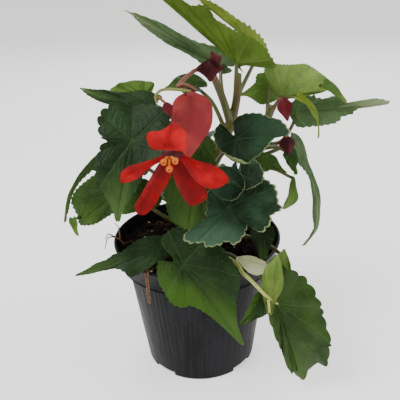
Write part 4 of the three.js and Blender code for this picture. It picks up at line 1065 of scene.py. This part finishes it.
# %% Pot
POT_HEIGHT, RIM_RADIUS, COLLAR_HEIGHT, COLLAR_FOOT = 108, 65, 16, 62
NECK_RADIUS, BASE_RADIUS, WALL, BASE_THICKNESS, LEDGE = 56, 44.4, 1.6, 2.4, 1.5
SLOT_COUNT, SLOT_ANGLE, SLOT_TURN, SLOT_HEIGHT, SLOT_DEPTH = 4, 26, -42, 4, 9
POT_TURNS = 180
CREASE_ANGLE = 34
collar_foot = POT_HEIGHT - COLLAR_HEIGHT
section = [
    (0, 0.6), (BASE_RADIUS - 5, 0.6), (BASE_RADIUS - 4, 0), (BASE_RADIUS - 1, 0),
    (BASE_RADIUS, 1), (NECK_RADIUS, collar_foot - LEDGE), (NECK_RADIUS + 1, collar_foot - 0.7),
    (COLLAR_FOOT - 1, collar_foot), (COLLAR_FOOT, collar_foot + 0.7), (RIM_RADIUS - 0.8, 105.5),
    (RIM_RADIUS, 106.4), (RIM_RADIUS, 107.4), (RIM_RADIUS - 0.6, POT_HEIGHT),
    (RIM_RADIUS - WALL, POT_HEIGHT - 0.4), (COLLAR_FOOT - WALL, collar_foot + LEDGE),
    (NECK_RADIUS - WALL, collar_foot), (BASE_RADIUS - WALL, BASE_THICKNESS),
    (0, BASE_THICKNESS),
]
bm = bmesh.new()
corners = [bm.verts.new(Vector((radius, 0, height)) * MM) for radius, height in section]
profile = [bm.edges.new(pair) for pair in zip(corners, corners[1:])]
bmesh.ops.spin(bm, geom=corners + profile, cent=(0, 0, 0), axis=(0, 0, 1),
               angle=math.tau, steps=POT_TURNS, use_merge=True, use_duplicate=False)
bmesh.ops.remove_doubles(bm, verts=bm.verts, dist=0.000001)
bmesh.ops.recalc_face_normals(bm, faces=bm.faces)
pot = hand_over(bm, "pot_body", [POT], "pot", leans=False)

bm = bmesh.new()
slot_width = 2 * BASE_RADIUS * math.sin(math.radians(SLOT_ANGLE / 2))
for index in range(SLOT_COUNT):
    turn = math.radians(SLOT_TURN - 90 + 360 * index / SLOT_COUNT)
    box = bmesh.ops.create_cube(bm, size=1)["verts"]
    bmesh.ops.scale(bm, verts=box, vec=Vector((2 * SLOT_DEPTH, slot_width, 2 * SLOT_HEIGHT)) * MM)
    bmesh.ops.translate(bm, verts=box, vec=Vector((BASE_RADIUS, 0, 0)) * MM)
    bmesh.ops.rotate(bm, verts=box, cent=(0, 0, 0), matrix=Matrix.Rotation(turn, 3, "Z"))
cutter = object_of(bm, "slots")
cut = pot.modifiers.new("slots", "BOOLEAN")
cut.object = cutter
cut.solver = "EXACT"
settle(pot)
bpy.data.objects.remove(cutter)
pot.data.shade_smooth()
creased = pot.modifiers.new("creases", "EDGE_SPLIT")
creased.split_angle = math.radians(CREASE_ANGLE)
print("pot faces:", len(pot.data.polygons))

# %% [markdown]
# ## The soil
#
# Peat is a heap of crumbs. The bed is a round sheet raised by several sizes of noise, closed
# below, and loose crumbs, pale chips and fine dead roots lie on it.

# %% Soil bed
PEAT = plain_paint("peat_crumb", rgb("1c1410"), rgb("090705"), 420, 0.95, 0.0012, detail=8,
                   gloss=0.05)
CHIP = plain_paint("pale_chip", rgb("b9b3a4"), rgb("8a8272"), 600, 0.9, 0.0005)
ROOT = plain_paint("dead_root", rgb("7d5a42"), rgb("4f3626"), 500, 0.85, 0.0003)
SOIL_LEVEL = 99
SOIL_RADIUS = COLLAR_FOOT - WALL + 1.2
BED_DEPTH = 8


def ground(x, y):
    """Height of the soil in metres."""
    place = Vector((x, y, 0))
    lumps = noise.fractal(place * 60, 0.9, 2.1, 4) * 2.2
    crumbs = noise.fractal(place * 330, 0.8, 2.0, 4) * 0.9
    heap = 3 * math.exp(-((x / MM) ** 2 + (y / MM) ** 2) / 900)
    return (SOIL_LEVEL + lumps + crumbs + heap) * MM


bm = bmesh.new()
disc = bmesh.ops.create_grid(bm, x_segments=240, y_segments=70, size=0.5)["verts"]
for vert in disc:
    turn = math.tau * (vert.co.x + 0.5)
    radius = SOIL_RADIUS * MM * (vert.co.y + 0.5)
    x, y = radius * math.cos(turn), radius * math.sin(turn)
    vert.co = (x, y, ground(x, y))
bmesh.ops.remove_doubles(bm, verts=bm.verts, dist=0.000005)
rim = [edge for edge in bm.edges if edge.is_boundary]
skirt = bmesh.ops.extrude_edge_only(bm, edges=rim)["geom"]
for vert in [item for item in skirt if isinstance(item, bmesh.types.BMVert)]:
    vert.co.z = (SOIL_LEVEL - BED_DEPTH) * MM
bmesh.ops.contextual_create(bm, geom=[edge for edge in bm.edges if edge.is_boundary])
bmesh.ops.recalc_face_normals(bm, faces=bm.faces)
hand_over(bm, "soil_bed", [PEAT], "soil", leans=False)

# %% Crumbs, chips and dead roots
luck = random.Random(7)


def spot(reach):
    """A random spot on the soil, in metres."""
    turn = luck.uniform(0, math.tau)
    radius = reach * MM * math.sqrt(luck.random())
    x, y = radius * math.cos(turn), radius * math.sin(turn)
    return Vector((x, y, ground(x, y)))


def scatter(name, paint, count, sizes, detail):
    bm = bmesh.new()
    for _ in range(count):
        size = luck.uniform(*sizes) * MM
        lump = bmesh.ops.create_icosphere(bm, subdivisions=detail, radius=size)["verts"]
        place = spot(SOIL_RADIUS - 2)
        squash = Vector((luck.uniform(0.6, 1.2), luck.uniform(0.6, 1.2), luck.uniform(0.5, 1)))
        seed = Vector((luck.uniform(0, 99), 0, 0))
        for vert in lump:
            rough = 1 + 0.5 * noise.noise(vert.co / size * 1.3 + seed)
            vert.co = Vector((a * b for a, b in zip(vert.co * rough, squash))) + place
    hand_over(bm, name, [paint], "soil", smooth=False, leans=False)


scatter("soil_crumbs", PEAT, 900, (0.5, 1.9), 1)
scatter("soil_clods", PEAT, 70, (1.8, 3.4), 2)
scatter("pale_chips", CHIP, 26, (0.4, 1.3), 1)
DEAD_ROOTS = 60
bm = bmesh.new()
for _ in range(DEAD_ROOTS):
    place = spot(SOIL_RADIUS - 6) / MM
    heading = luck.uniform(0, math.tau)
    path = []
    for step in range(5):
        heading += luck.uniform(-0.7, 0.7)
        path.append(place + Vector((0, 0, luck.uniform(0.3, 2.2))))
        place = place + Vector((math.cos(heading), math.sin(heading), 0)) * luck.uniform(1.5, 3)
    add_tube(bm, path, (0.22, 0.12), sides=5, steps=3)
hand_over(bm, "soil_roots", [ROOT], "soil", leans=False)
print("soil pieces done")

# %% Loose fibres at the rim
FIBRES = {
    "fibre_front": [
        ((1.1, 0.5), [(-33, -44, 104), (-34.5, -51, 110.5), (-36, -56.5, 109),
                      (-36, -57.5, 99), (-36, -56, 88), (-35.5, -54, 82)]),
        ((0.8, 0.4), [(-34.5, -51, 110.5), (-34.5, -57.5, 109.5), (-34.5, -58.5, 98),
                      (-34.5, -57, 84)]),
    ],
    "fibre_left": [
        ((0.7, 0.3), [(-57, -4, 103), (-63, -6, 110.5), (-69, -8, 111), (-71, -12, 104)]),
        ((0.6, 0.3), [(-63, -6, 110.5), (-69, -3, 112), (-72, -2, 107)]),
        ((0.6, 0.3), [(-60, -5, 107), (-62, 6, 112), (-66, 14, 113)]),
    ],
}
for node, strands in FIBRES.items():
    bm = bmesh.new()
    for radii, points in strands:
        add_tube(bm, points, radii, sides=8)
    hand_over(bm, node + "_strands", [ROOT], node, leans=False)
print("fibres:", len(FIBRES))

# %% [markdown]
# ## The floor
#
# A plain pale floor, far larger than the view, so that only the plant's own soft shadow
# falls on it.

# %% Floor
paint = Paint("floor")
paint.set(Base_Color=(0.88, 0.88, 0.87, 1), Roughness=0.8, Emission_Color=(1, 0.995, 0.985, 1),
          Emission_Strength=0.7)
bm = bmesh.new()
bmesh.ops.create_grid(bm, x_segments=1, y_segments=1, size=6)
floor = object_of(bm, "floor")
floor.data.materials.append(paint.material)
